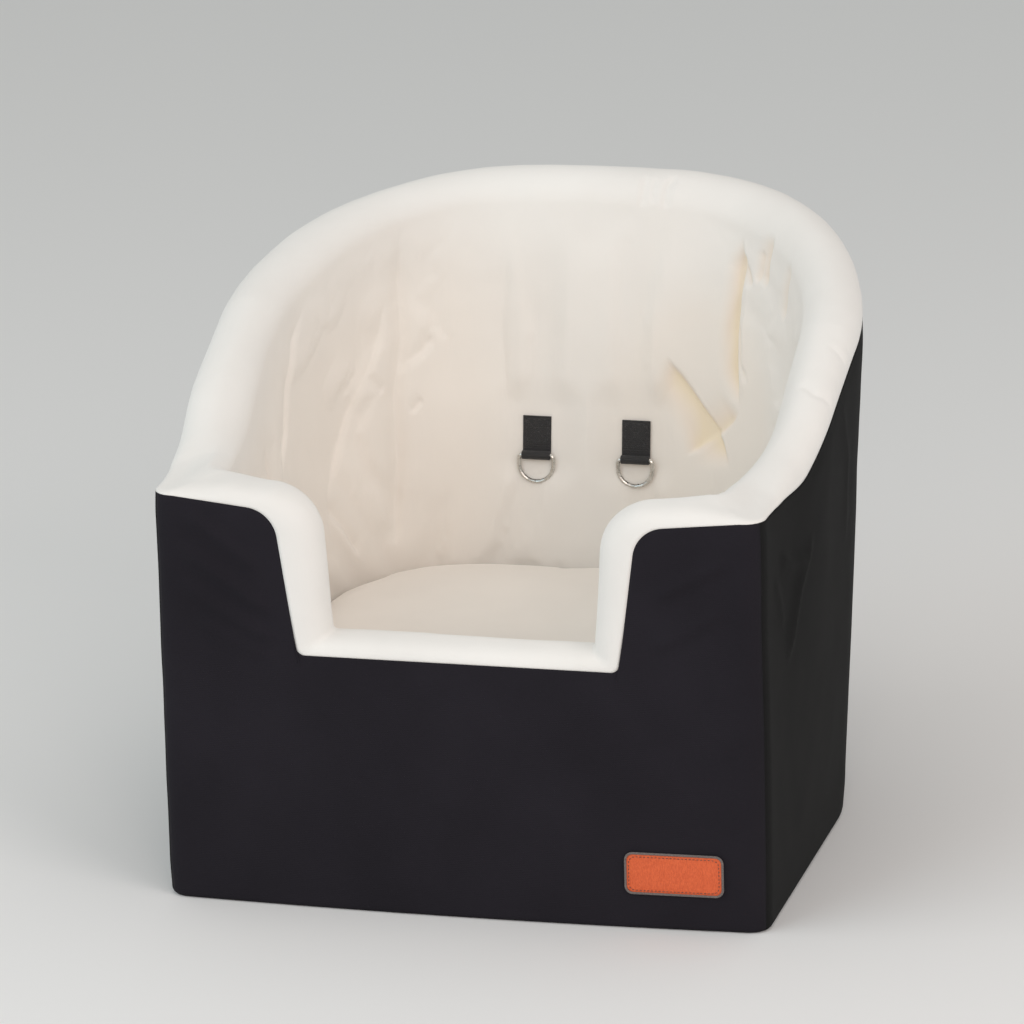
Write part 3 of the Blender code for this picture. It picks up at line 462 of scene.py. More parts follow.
def grid_normals(points):
    """Unit normals of a grid of points that closes along its first axis."""
    along = np.roll(points, -1, 0) - np.roll(points, 1, 0)
    normal = np.cross(along, np.gradient(points, axis=1))
    return normal / np.maximum(np.linalg.norm(normal, axis=-1, keepdims=True), TINY)


def recolour(mesh, finish):
    mesh.materials.clear()
    mesh.materials.append(finish)


def evaluated(obj):
    """A mesh of an object as its modifiers or its curve make it."""
    bpy.context.view_layer.update()
    graph = bpy.context.evaluated_depsgraph_get()
    return bpy.data.meshes.new_from_object(obj.evaluated_get(graph))


def apply_modifiers(obj):
    mesh = evaluated(obj)
    obj.modifiers.clear()
    obj.data = mesh
    return obj


def thicken(obj, thickness):
    """Closes a sheet into a thin solid; the new side lies behind the faces' normals."""
    made = obj.modifiers.new("cloth", "SOLIDIFY")
    made.thickness = thickness
    made.offset = -1
    apply_modifiers(obj)


def simulated(obj, frames, pressure, **settings):
    """The points of an object after a cloth simulation that blows it up, without gravity."""
    cloth = obj.modifiers.new("cloth", "CLOTH")
    cloth.settings.effector_weights.gravity = 0
    cloth.settings.use_pressure = True
    cloth.settings.uniform_pressure_force = pressure
    for name, value in settings.items():
        setattr(cloth.settings, name, value)
    scene = bpy.context.scene
    for span in (scene, cloth.point_cache):
        span.frame_start, span.frame_end = 1, frames
    for number in range(1, frames + 1):
        scene.frame_set(number)
    graph = bpy.context.evaluated_depsgraph_get()
    made = coordinates_of(obj.evaluated_get(graph).data)
    obj.modifiers.clear()
    scene.frame_set(1)
    return made


def waves(points, kinds):
    """Sum of smooth noises at points, each a height, a scale and a seed."""
    total = 0
    for height, scale, seed in kinds:
        shift = Vector((seed * 7.31, seed * 3.17, seed * 5.71))
        made = [noise.noise(Vector(p) * scale + shift) for p in points.reshape(-1, 3)]
        total += height * np.array(made).reshape(points.shape[:-1])
    return total


def fold_field(u, z, folds):
    """Height at u and z of folds: each is a line of points, a height, and a width on either side.

    The lines run downwards, and the first width is towards greater u.
    """
    total = np.zeros_like(u)
    for line, height, wide, narrow in folds:
        line = np.array(line, float)
        steps = np.linalg.norm(np.diff(line, axis=0), axis=1)
        whole = steps.sum()
        best = np.full_like(u, np.inf)
        signed = np.zeros_like(u)
        share = np.zeros_like(u)
        done = 0.0
        for a, b, step in zip(line, line[1:], steps):
            way = (b - a) / step
            t = np.clip((u - a[0]) * way[0] + (z - a[1]) * way[1], 0, step)
            du, dz = u - a[0] - way[0] * t, z - a[1] - way[1] * t
            away = np.hypot(du, dz)
            nearer = away < best
            best = np.where(nearer, away, best)
            signed = np.where(nearer, np.sign(way[0] * dz - way[1] * du), signed)
            share = np.where(nearer, (done + t) / whole, share)
            done += step
        taper = ease(share / FOLD_TAPER) * ease((1 - share) / FOLD_TAPER)
        width = np.where(signed > 0, wide, narrow) * (FOLD_TIP + (1 - FOLD_TIP) * taper)
        reach = np.clip((np.sqrt(best ** 2 + FOLD_EDGE ** 2) - FOLD_EDGE) / width, 0, 1)
        total += height * taper * (1 - reach) ** 2
    return total


def finish_piece(obj, nodes, body="seat"):
    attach(obj, body)
    if nodes:
        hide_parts(*nodes)


def cloth_sheet(obj, node):
    thicken(obj, COVER_THICKNESS)
    finish_piece(obj, [node])
    area = sum(face.area for face in obj.data.polygons) / 2
    sizes = sorted(np.ptp(coordinates_of(obj.data), 0))[1:]
    grow = max(1.0, math.sqrt(area / (sizes[0] * sizes[1])) * SEWING_ALLOWANCE)
    flat = tuple(round(float(size * grow), 3) for size in sizes)
    area = min(area, 0.999 * flat[0] * flat[1])


# Liner

LINER_NODES = ["front_liner", "left_arm_liner", "right_arm_liner", "left_liner", "right_liner",
               "left_rear_liner", "right_rear_liner", "front_rim_fill", "left_rim_fill", "right_rim_fill"]

# The folds that the photograph shows: points down a line in u and z, depth, and a width on either side of it
FOLDS = [
    ([(0.807, 0.350), (0.795, 0.336), (0.776, 0.317), (0.754, 0.297), (0.739, 0.281), (0.724, 0.260)],
     -0.0068, 0.042, 0.006),
    ([(0.713, 0.312), (0.724, 0.303), (0.737, 0.293), (0.748, 0.288), (0.766, 0.277), (0.784, 0.266)],
     -0.0048, 0.034, 0.006),
    ([(0.723, 0.462), (0.723, 0.434), (0.726, 0.405), (0.727, 0.377), (0.724, 0.349), (0.718, 0.327),
      (0.712, 0.314)], -0.0076, 0.022, 0.006),
    ([(0.713, 0.435), (0.714, 0.385), (0.713, 0.345), (0.705, 0.320)], 0.0020, 0.008, 0.026),
    ([(0.722, 0.448), (0.717, 0.436), (0.705, 0.418)], -0.0034, 0.014, 0.006),
    ([(0.720, 0.392), (0.714, 0.351), (0.701, 0.335)], -0.0026, 0.012, 0.005),
    ([(0.676, 0.474), (0.685, 0.447), (0.685, 0.421)], -0.0050, 0.020, 0.006),
    ([(0.693, 0.455), (0.698, 0.422)], -0.0024, 0.010, 0.005),
    ([(0.636, 0.456), (0.645, 0.430), (0.650, 0.400)], -0.0032, 0.016, 0.006),
    ([(-0.568, 0.420), (-0.545, 0.395), (-0.527, 0.356), (-0.514, 0.322), (-0.491, 0.303), (-0.476, 0.287)],
     -0.0030, 0.030, 0.0080),
    ([(-0.679, 0.405), (-0.669, 0.372), (-0.655, 0.344), (-0.641, 0.328), (-0.625, 0.304), (-0.604, 0.267),
      (-0.589, 0.242)], -0.0034, 0.050, 0.0095),
    ([(-0.696, 0.464), (-0.696, 0.411), (-0.696, 0.366), (-0.691, 0.338), (-0.687, 0.314), (-0.688, 0.259),
      (-0.683, 0.208), (-0.680, 0.175)], -0.0072, 0.030, 0.017),
    ([(-0.730, 0.366), (-0.715, 0.351), (-0.699, 0.343), (-0.691, 0.332)], -0.0034, 0.024, 0.010),
    ([(-0.715, 0.310), (-0.700, 0.299)], -0.0020, 0.012, 0.006),
    ([(-0.654, 0.339), (-0.667, 0.326), (-0.674, 0.321)], -0.0018, 0.010, 0.008),
    ([(-0.587, 0.240), (-0.611, 0.215), (-0.635, 0.183)], -0.0030, 0.006, 0.020),
    ([(-0.808, 0.430), (-0.800, 0.370), (-0.806, 0.300)], -0.0020, 0.034, 0.012),
    ([(-0.430, 0.330), (-0.446, 0.280), (-0.440, 0.220)], -0.0024, 0.030, 0.009),
    ([(0.560, 0.360), (0.530, 0.310), (0.520, 0.240)], -0.0026, 0.030, 0.010),
]
# Creases on the rim: points in u and in shares of the way over it
RIM_CREASES = [
    ([(0.438, 0.60), (0.429, 0.36), (0.438, 0.10)], -0.0015, 0.014, 0.007),
    ([(0.491, 0.40), (0.488, 0.12)], -0.0010, 0.012, 0.008),
    ([(0.806, 0.60), (0.813, 0.76), (0.813, 0.97), (0.814, 1.03)], -0.0022, 0.010, 0.005),
    ([(0.833, 0.66), (0.832, 0.90), (0.836, 1.02)], -0.0018, 0.010, 0.005),
    ([(0.824, 0.66), (0.824, 0.98)], -0.0012, 0.008, 0.004),
]
# Where the padding stands proud or lies flat: u, row, reach of each, and height
SWELLS = [
    ((-0.600, 1.00), (0.110, 0.55), 0.006),
    ((-0.400, 1.05), (0.090, 0.50), 0.003),
    ((0.430, 0.86), (0.150, 0.38), -0.005),
    ((0.690, 0.45), (0.170, 0.45), 0.0055),
    ((-0.440, 0.28), (0.200, 0.32), -0.002),
]
LINER_WAVES = [(0.0009, 12.0, 3), (0.0003, 40.0, 5)]  # height, scale and seed of each noise
PUCKER = 0.0004  # height of the gathers along a seam
CUSHION_HIDES = 0.020  # there are no folds this far up from the floor
DEEPEST = 0.0068  # how far the wall's face may lie behind its plain place, so that it hides the foam
FOLD_TAPER = 0.22  # share of a fold's length over which it fades in and out
FOLD_TIP = 0.45  # a fold's width at its ends, as a share of its full width
FOLD_EDGE = 0.0008  # rounding of a fold's edge


def liner_places(columns, rows):
    """u, z and row of the liner's grid round the seat: rows 0 to 1 go over the rim, 1 to 2 down the wall."""
    seam, rim, floor_u = columns[:, None, :2], columns[:, None, 2:4], columns[:, 4]
    floor = np.stack([floor_u, np.full_like(floor_u, LINER_FLOOR_TOP)], -1)[:, None]
    rows = rows[:, None]
    over = seam + (rim - seam) * np.sin(math.pi * rows)
    wall = seam + (floor - seam) * (rows - 1)
    places = np.where(rows <= 1, over, wall)
    places = np.concatenate([places, np.broadcast_to(rows, (*places.shape[:2], 1))], 2)
    return np.concatenate([places[:0:-1] * (-1, 1, 1), places[:-1]])


def liner_points(places):
    depth = WALL / 2 * (1 - np.cos(math.pi * np.minimum(places[..., 2], 1)))
    return wall_points(places[..., 0], depth, places[..., 1])[0]


def puffed(points, places, finish):
    """The liner after a simulation: pinned round its rim and at the floor, and blown out from the foam."""
    sheet = grid_object("liner_cloth", points, finish, wrap=True)
    pins = sheet.vertex_groups.new(name="pins")
    row = places[..., 2].ravel()
    pins.add(np.nonzero((row < PINNED_ROWS[0]) | (row > PINNED_ROWS[1]))[0].tolist(), 1.0, "REPLACE")
    made = simulated(sheet, PUFF_FRAMES, PUFF_PRESSURE, quality=6, mass=0.3, tension_stiffness=15,
                     compression_stiffness=15, shear_stiffness=8, bending_stiffness=1.5,
                     vertex_group_mass="pins", shrink_min=-PUFF_SLACK)
    bpy.data.objects.remove(sheet)
    return made.reshape(points.shape)


def tab_share(u, z):
    """0 where a ring tab is sewn down on the liner, rising to 1 away from it."""
    across = np.maximum(np.abs(np.abs(u) - (BACK_MIDDLE - RING_X)) - TAB_WIDTH / 2 - TAB_HOLD, 0)
    low, high = RING_AXIS_HEIGHT - TAB_HOLD, RING_AXIS_HEIGHT + TAB_LENGTH + TAB_HOLD
    away = np.hypot(across, np.maximum(np.maximum(low - z, z - high), 0))
    return ease(away / TAB_EASE)


def liner_relief(points, places):
    """Height of the liner's face beyond the plain wall, and how much warm painted shade its colour has there.

    Each ease fades a term in or out, over a span of rows, heights or u.
    """
    u, z, row = places[..., 0], places[..., 1], places[..., 2]
    up = np.clip((z - LINER_FLOOR_TOP) / (seam_height(u) - LINER_FLOOR_TOP), 0, 1)
    crown = LINER_CROWN * np.sin(math.pi * up) * ease((row - 0.98) / 0.10)
    crown *= ease((np.abs(u) - FRONT_END) / 0.06) * tab_share(u, z)
    above = z - LINER_FLOOR_TOP - CUSHION_HIDES
    folds = fold_field(u, z, FOLDS) * ease((row - 0.80) / 0.30) * ease(above / 0.03)
    over = math.pi * WALL / 2
    lines = [([(a, b * over) for a, b in line], *rest) for line, *rest in RIM_CREASES]
    creases = fold_field(u, row * over, lines)
    roll = np.clip(row, 0, 1)
    bulge = RIM_BULGE * np.sin(math.pi * np.clip(roll / 0.42, 0, 1))
    near = ease(1 - np.abs(np.abs(u) - CORNER_END) / CORNER_PINCH_REACH)
    bulge -= CORNER_PINCH * near * np.sin(math.pi * np.clip(roll / 0.65, 0, 1))
    for (at_u, at_row), (reach_u, reach_row), height in SWELLS:
        bulge += height * ease(1 - np.hypot((u - at_u) / reach_u, (row - at_row) / reach_row))
    pucker = waves(np.stack([u, u * 0, row * 0.02], -1), [(PUCKER, 75.0, 8)])
    pucker *= np.sin(math.pi * np.clip(roll / 0.5, 0, 1))
    free = ease(row / 0.10) * ease((1.995 - row) / 0.05)
    total = crown + folds + bulge + (waves(points, LINER_WAVES) + pucker + creases) * free
    room = DEEPEST * (1 + ease((1.02 - row) / 0.08))
    low = np.minimum(total, 0)
    total = np.maximum(total, 0) + low / np.cbrt(1 + (-low / room) ** 3)
    # Painted shade: warm on the walls below the rim, most at the places listed, and more in the grooves of
    # deeper folds
    painted_shade = sum(ease(1.6 * (1 - np.hypot((u - a) / c, (z - b) / d))) for (a, b), (c, d) in PAINTED_SHADE_PLACES)
    wall = ease((row - 0.80) / 0.50) * np.minimum(PAINTED_SHADE_BASE + painted_shade, 1)
    painted_warm_shade = WALL_PAINTED_SHADE * wall + np.where(u < 0, *FOLD_PAINTED_SHADE) * np.clip(-folds / FOLD_SHADE_FULL_DEPTH, 0, 1)
    return total, painted_warm_shade


def resampled(values, at, loop=False):
    """Rows of an array at fractional places along its first axis, on smooth curves through its rows."""
    low = np.floor(at).astype(int)
    part = (at - low).reshape(-1, *[1] * (values.ndim - 1))
    picks = [low + step for step in (-1, 0, 1, 2)]
    a, b, c, d = (values[p % len(values) if loop else np.clip(p, 0, len(values) - 1)] for p in picks)
    return b + part / 2 * (c - a + part * (2 * a - 5 * b + 4 * c - d + part * (3 * (b - c) + d - a)))


def refined(count, parts):
    """Fractional places from 0 to count - 1, each step in its number of parts."""
    steps = [k + np.arange(n) / n for k, n in enumerate(np.broadcast_to(parts, count - 1))]
    return np.concatenate(steps + [[count - 1]])


def make_liner(finish):
    seam, rim, floor_u = loop_columns(LINER_COUNTS)
    columns = np.concatenate([seam, rim, floor_u[:, None]], 1)
    rows = np.concatenate([np.linspace(0, 1, ROLL_STEPS + 1), np.linspace(1, 2, WALL_STEPS + 1)[1:]])
    places = liner_places(columns, rows)
    points = liner_points(places)
    moved = np.zeros_like(points)
    moved = puffed(points, places, finish) - points
    normals = grid_normals(points)
    out = (moved * normals).sum(-1, keepdims=True)
    side = moved - out * normals
    way = np.linalg.norm(side, axis=-1, keepdims=True)
    moved = side * np.minimum(1, PUFF_CAP / np.maximum(way, TINY))
    moved += np.clip(out, -PUFF_SINK, PUFF_CAP) * normals
    moved *= ease((places[..., 2] - 0.95) / 0.40)[..., None]
    at = refined(len(columns), np.where(floor_u[1:] > FOLD_ZONE, FINE_PARTS, 2))
    down_at = refined(len(rows), np.where(rows[1:] > 1, FINE_PARTS, 2))
    fine = liner_places(resampled(columns, at), np.interp(down_at, np.arange(len(rows)), rows))
    round_at = len(columns) - 1 + np.concatenate([-at[:0:-1], at[:-1]])
    moved = resampled(resampled(moved, round_at, True).swapaxes(0, 1), down_at).swapaxes(0, 1)
    points = liner_points(fine) + moved * tab_share(fine[..., 0], fine[..., 1])[..., None]
    relief, painted_shade = liner_relief(points, fine)
    points = points + relief[..., None] * grid_normals(points)
    sheet = grid_object("padded_liner", points, finish, wrap=True)
    # The liner's colour gets the painted shade of its walls and folds.
    set_painted_warm_shade(sheet.data, painted_shade.ravel())
    thicken(sheet, LINER_BACKING)
    finish_piece(sheet, LINER_NODES)


# Cover

COVER_ROWS = 84
PANEL_COLUMNS = 150
PANEL_ROWS = 78
CANVAS_SLACK = 0.0009
CANVAS_WAVES = [(0.0009, 9.0, 11), (0.00035, 30.0, 12)]
# Drag lines of the canvas, as folds in u and z
CREASES = [
    ([(-0.232, 0.338), (-0.200, 0.318), (-0.160, 0.286)], 0.0038, 0.008, 0.016),
    ([(-0.236, 0.310), (-0.200, 0.286), (-0.150, 0.250)], 0.0044, 0.008, 0.016),
    ([(-0.238, 0.282), (-0.200, 0.256), (-0.146, 0.226)], 0.0040, 0.008, 0.016),
    ([(-0.222, 0.246), (-0.196, 0.232), (-0.156, 0.214)], 0.0028, 0.008, 0.016),
    ([(0.232, 0.318), (0.200, 0.300), (0.162, 0.280)], 0.0034, 0.008, 0.016),
    ([(0.226, 0.276), (0.196, 0.256), (0.158, 0.236)], 0.0026, 0.009, 0.017),
    ([(0.300, 0.305), (0.330, 0.290), (0.370, 0.282)], 0.0026, 0.010, 0.014),
    ([(0.286, 0.292), (0.300, 0.268), (0.310, 0.240)], 0.0014, 0.010, 0.012),
    ([(0.390, 0.300), (0.350, 0.262), (0.320, 0.205)], 0.0034, 0.012, 0.020),
    ([(0.244, 0.300), (0.245, 0.180), (0.244, 0.040)], 0.0006, 0.010, 0.008),
    ([(-0.300, 0.310), (-0.345, 0.270), (-0.380, 0.200)], 0.0012, 0.014, 0.022),
    ([(-0.420, 0.350), (-0.450, 0.290), (-0.455, 0.210)], 0.0012, 0.014, 0.022),
    ([(0.470, 0.390), (0.500, 0.330), (0.505, 0.250)], 0.0012, 0.014, 0.022),
    ([(0.600, 0.420), (0.640, 0.350), (0.650, 0.260)], 0.0013, 0.016, 0.024),
    ([(-0.600, 0.420), (-0.630, 0.340), (-0.620, 0.250)], 0.0013, 0.016, 0.024),
    ([(0.740, 0.300), (0.700, 0.200), (0.690, 0.090)], 0.0012, 0.018, 0.024),
    ([(-0.730, 0.280), (-0.690, 0.190), (-0.700, 0.080)], 0.0012, 0.018, 0.024),
]


def canvas_relief(points, u, z, top):
    """How far the canvas stands out from the foam: creases, and slack between its seams."""
    inside = ease(z / 0.03) * ease((top - z) / 0.02)
    slack = CANVAS_SLACK + waves(points, CANVAS_WAVES)
    pucker = waves(np.stack([u, u * 0, z * 0.04], -1), [(PUCKER, 90.0, 13)]) * np.exp(-(top - z) / 0.012)
    return (slack + fold_field(u, z, CREASES)) * inside + pucker * ease((top - z) / 0.004)


def front_swell(x, z):
    """How far the canvas in front bows out at x and z."""
    up = 1 - ease((z - FRONT_SWELL_LOW) / (FRONT_SWELL_HIGH - FRONT_SWELL_LOW))
    return FRONT_SWELL * np.clip(1 - (x / FRONT_END) ** 2, 0, 1) * up


def panel_grid(top_u, top_z, floor_u, shares):
    """Points of a panel of canvas: rows at shares of its height, then the turn round its bottom edge."""
    turn = np.linspace(0, math.pi / 2, 6)[1:]
    turn, shares = np.concatenate([0 * shares, turn]), np.concatenate([shares, np.ones(len(turn))])
    u = top_u[:, None] + (floor_u - top_u)[:, None] * shares
    z = top_z[:, None] + (BASE_ROUND - top_z)[:, None] * shares - BASE_ROUND * np.sin(turn)
    points, normals = wall_points(u, BASE_ROUND * (1 - np.cos(turn)), z, False)
    swell = np.where(np.abs(u) < FRONT_END, front_swell(u, z), 0)
    return points + (canvas_relief(points, u, z, top_z[:, None]) + swell)[..., None] * normals


def make_cover(canvas, painted_shade_canvas):
    count = sum(COVER_COUNTS) - 1
    seam = loop_columns(COVER_COUNTS)[0][:count]
    corner = FRONT_END + (CORNER_END - FRONT_END) * CORNER_SEAM_SHARE
    extra = np.linspace(FRONT_END, corner, 5)[1:]
    edges = np.array([
        np.concatenate([seam[:, 0], extra]),
        np.concatenate([seam[:, 1], np.full(len(extra), ARM_SEAM)]),
        np.concatenate([np.linspace(0, FRONT_END, count), extra])])
    edges = np.concatenate([edges[:, :0:-1] * [[-1], [1], [-1]], edges], 1)
    front = grid_object("canvas_front", panel_grid(*edges, np.linspace(0, 1, COVER_ROWS)), canvas)
    front.data.flip_normals()
    cloth_sheet(front, "front_cover")
    window = 1 - np.array([ZIP_LOW, ZIP_HIGH]) / seam_height(BACK_MIDDLE)
    shares = np.unique(np.concatenate([np.linspace(0, 1, PANEL_ROWS), window]))
    zip_edge = BACK_MIDDLE - ZIP_HALF
    u = np.concatenate([
        np.linspace(corner, CORNER_END, 4),
        np.linspace(CORNER_END, zip_edge, PANEL_COLUMNS)[1:],
        [zip_edge + ZIP_HALF / 2, BACK_MIDDLE - 0.0001]])
    # The side panels take the darker copy of the canvas, which is painted shade.
    for side, name in SIDES:
        points = panel_grid(side * u, seam_height(u), side * u, shares)
        x, y, z = np.moveaxis((points[:-1, :-1] + points[1:, 1:]) / 2, -1, 0)
        keep = (np.abs(x) > ZIP_HALF) | (z < ZIP_LOW) | (z > ZIP_HIGH) | (y < 0)
        panel = grid_object(f"canvas_{name}", points, painted_shade_canvas, keep=keep)
        if side > 0:
            panel.data.flip_normals()
        cloth_sheet(panel, f"{name}_cover")


def disc(name, outline, finish, steps=14):
    """A level sheet inside an outline of points."""
    middle = outline.mean(0)
    shares = np.linspace(1, 0.02, steps)
    points = middle + (outline[:, None] - middle) * shares[:, None]
    sheet = grid_object(name, points, finish, wrap=True)
    capped(sheet, steps, Vector((0, 0, 1)))
    return sheet


def outline_at(d, z, count=420):
    """The footprint at depth d and height z, as a closed line of points."""
    return wall_points(np.linspace(-BACK_MIDDLE, BACK_MIDDLE, count)[1:], d, z)[0]


def make_floors(canvas, cream):
    outline = outline_at(BASE_ROUND, COVER_THICKNESS)
    in_front = outline[:, 1] < FRONT_Y + BASE_ROUND * 1.01
    outline[:, 1] -= np.where(in_front, front_swell(outline[:, 0], 0.0), 0)
    # The base takes the darker copy of the canvas, which is painted shade.
    cloth_sheet(disc("canvas_base", outline, canvas), "base_cover")
    floor = disc("liner_base", outline_at(WALL, LINER_FLOOR_TOP), cream)
    cloth_sheet(floor, "liner_floor")


# Cushion

# Rings of the cushion from under its base to its crown: inset from its side, and height
CUSHION_PROFILE = [
    (0.026, CUSHION_BASE),
    (0.010, CUSHION_BASE),
    (0.002, CUSHION_BASE + 0.004),
    (0.0, CUSHION_SEAM),
    (0.002, CUSHION_SEAM + 0.008),
    (0.012, CUSHION_CROWN - 0.010),
    (0.035, CUSHION_CROWN - 0.005),
    (0.085, CUSHION_CROWN - 0.001),
]
CUSHION_VOXEL = 0.006
CUSHION_FRAMES = 18
CUSHION_PRESSURE = 3.0
CUSHION_WAVES = [(0.0014, 11.0, 21), (0.0006, 34.0, 22)]
WELT_INSET = 0.0022
WELT_RADIUS = 0.0021


def cushion_cage(finish):
    """A closed, evenly meshed form of the cushion."""
    edge = WALL + CUSHION_SIDE_GAP + CUSHION_START
    rings = [outline_at(edge + inset, CUSHION_SEAM, 160) for inset, _ in CUSHION_PROFILE]
    points = np.stack(rings, 1)
    points[..., 2] = [z for _, z in CUSHION_PROFILE]
    cage = grid_object("seat_cushion", points, finish, wrap=True)
    with editing(cage.data) as bm:
        bmesh.ops.holes_fill(bm, edges=[e for e in bm.edges if e.is_boundary])
        bmesh.ops.recalc_face_normals(bm, faces=bm.faces)
    remesh = cage.modifiers.new("even", "REMESH")
    remesh.mode = "VOXEL"
    remesh.voxel_size = CUSHION_VOXEL
    return apply_modifiers(cage)


def make_cushion(finish):
    cage = cushion_cage(finish)
    points = coordinates_of(cage.data)
    move = simulated(cage, CUSHION_FRAMES, CUSHION_PRESSURE, bending_stiffness=0.5) - points
    way = np.linalg.norm(move, axis=1, keepdims=True)
    points = points + move * np.minimum(1, CUSHION_CAP / np.maximum(way, TINY))
    points[:, 2] += ease((points[:, 2] - CUSHION_SEAM) / 0.008) * waves(points, CUSHION_WAVES)
    points[:, 2] = np.maximum(points[:, 2], CUSHION_BASE)
    cage.data.vertices.foreach_set("co", points.ravel())
    cage.data.update()
    smooth = cage.modifiers.new("smooth", "SUBSURF")
    smooth.levels = smooth.render_levels = 1
    apply_modifiers(cage)
    recolour(cage.data, finish)
    cage.data.shade_smooth()
    # The cushion's colour gets the walls' even painted shade.
    set_painted_warm_shade(cage.data, np.full(len(cage.data.vertices), WALL_PAINTED_SHADE))
    nodes = ["cushion_case_base", "cushion_case_top", "cushion_fill"]
    finish_piece(cage, nodes, "cushion")
    line = outline_at(WALL + CUSHION_SIDE_GAP + WELT_INSET, CUSHION_SEAM, 300)
    finish_piece(tube("cushion_welt", line, WELT_RADIUS, finish), [], "cushion")


# Tubes, strips and stitches

TOPSTITCH_INSETS = (0.0035, 0.0100)  # the rows beside the zip, from the canvas's edge
TOPSTITCH_LIFT = 0.0022
TOPSTITCH_ENDS = (0.012, 0.470)
STITCH_LIFT = 0.0001  # how far a thread's middle lies over the webbing
LOOP_STITCH_INSET = 0.004
TAB_STITCH_INSET = 0.003
TAB_NECK = 0.004  # where the ring tab's flat part ends over the ring's axis
TAB_EYE_TURN = 1.82 * math.pi  # how far the ring tab's webbing goes round the ring
PATCH_RINGS = [(0.0, 0.0020), (0.0012, 0.0027), (0.0030, 0.0030)]  # the field's rings: inset and lift
PATCH_THICKNESS = 0.0006
PATCH_BORDER = (0.0026, 0.0010)  # lift and radius
PATCH_STITCHES = (0.0022, 0.0009, 0.0003)  # length, gap and radius
PATCH_STITCH_LIFT = 0.0034
PATCH_STITCH_SHARES = (0.93, 0.84)  # the run's size in x and z, as shares of the patch's outline


def tube(name, line, radius, finish):
    """A round tube along a closed line of points."""
    curve = bpy.data.curves.new(name, "CURVE")
    curve.dimensions = "3D"
    curve.bevel_depth = radius
    curve.bevel_resolution = 2
    spline = curve.splines.new("POLY")
    spline.points.add(len(line) - 1)
    spline.points.foreach_set("co", np.concatenate([line, np.ones((len(line), 1))], 1).ravel())
    spline.use_cyclic_u = True
    source = bpy.data.objects.new(name + "_line", curve)
    bpy.context.scene.collection.objects.link(source)
    mesh = evaluated(source)
    bpy.data.objects.remove(source)
    with editing(mesh) as bm:
        bmesh.ops.remove_doubles(bm, verts=bm.verts, dist=1e-6)
    mesh.shade_smooth()
    return link(name, mesh, finish)


def back_point(x, n, z, depth=0.0):
    """A point in the frame of the leaning back: x across, n out from the face at depth, z up along it."""
    y = -FRONT_Y - depth + n * math.cos(BACK_ANGLE) + z * math.sin(BACK_ANGLE)
    return np.array([x, y, -n * math.sin(BACK_ANGLE) + z * math.cos(BACK_ANGLE)])


def strip(name, line, width, thickness, finish, x=0.0, depth=0.0):
    """A woven strip along a line of (n, z) in the frame of the back, width across, with rounded edges."""
    line = np.array(line, float)
    along = np.gradient(line, axis=0)
    along /= np.linalg.norm(along, axis=1, keepdims=True)
    out = np.stack([along[:, 1], -along[:, 0]], -1)
    side, flat = width / 2, width / 2 - 0.35 * thickness
    section = [(-flat, 1), (0, 1.05), (flat, 1), (side, 0.45), (side, -0.45),
               (flat, -1), (-flat, -1), (-side, -0.45), (-side, 0.45)]
    mesh = bpy.data.meshes.new(name)
    with editing(mesh) as bm:
        rings = [[bm.verts.new(back_point(x + a, *(at + way * b * thickness / 2), depth)) for a, b in section]
                 for at, way in zip(line, out)]
        for one, other in zip(rings, rings[1:]):
            for i in range(len(section)):
                bm.faces.new((one[i - 1], one[i], other[i], other[i - 1]))
        bm.faces.new(rings[0])
        bm.faces.new(rings[-1])
        bmesh.ops.recalc_face_normals(bm, faces=bm.faces)
    mesh.shade_smooth()
    mesh.set_sharp_from_angle(angle=math.radians(50))
    return link(name, mesh, finish)


def stitches(name, runs, finish, slot, length=0.0030, gap=0.0012, radius=0.00035):
    """Sewing along runs of points: one short, slightly raised thread after another."""
    mesh = bpy.data.meshes.new(name)
    with editing(mesh) as bm:
        for run in runs:
            run = np.array(run, float)
            steps = np.linalg.norm(np.diff(run, axis=0), axis=1)
            places = np.concatenate([[0], np.cumsum(steps)])
            count = max(1, int(places[-1] // (length + gap)))
            for i in range(count):
                ends = [(i + 0.5) * places[-1] / count + s * length / 2 for s in (-1, 1)]
                a, b = (Vector([np.interp(t, places, run[:, k]) for k in range(3)]) for t in ends)
                turn = (b - a).to_track_quat("Z", "Y").to_matrix().to_4x4()
                place = Matrix.Translation((a + b) / 2) @ turn
                size = Matrix.Diagonal((radius, radius, (b - a).length / 2, 1))
                bmesh.ops.create_icosphere(bm, subdivisions=1, radius=1, matrix=place @ size)
    mesh.shade_smooth()
    finish_piece(link(name, mesh, finish), [])


def box_runs(x, half, low, high, n, depth=0.0):
    """Runs of a sewn box round x with a cross in it, in the frame of the back."""
    a, b, c, d = (x - half, low), (x + half, low), (x + half, high), (x - half, high)
    pairs = [(a, b), (b, c), (c, d), (d, a), (a, c), (b, d)]
    return [[back_point(across, n, up, depth) for across, up in pair] for pair in pairs]


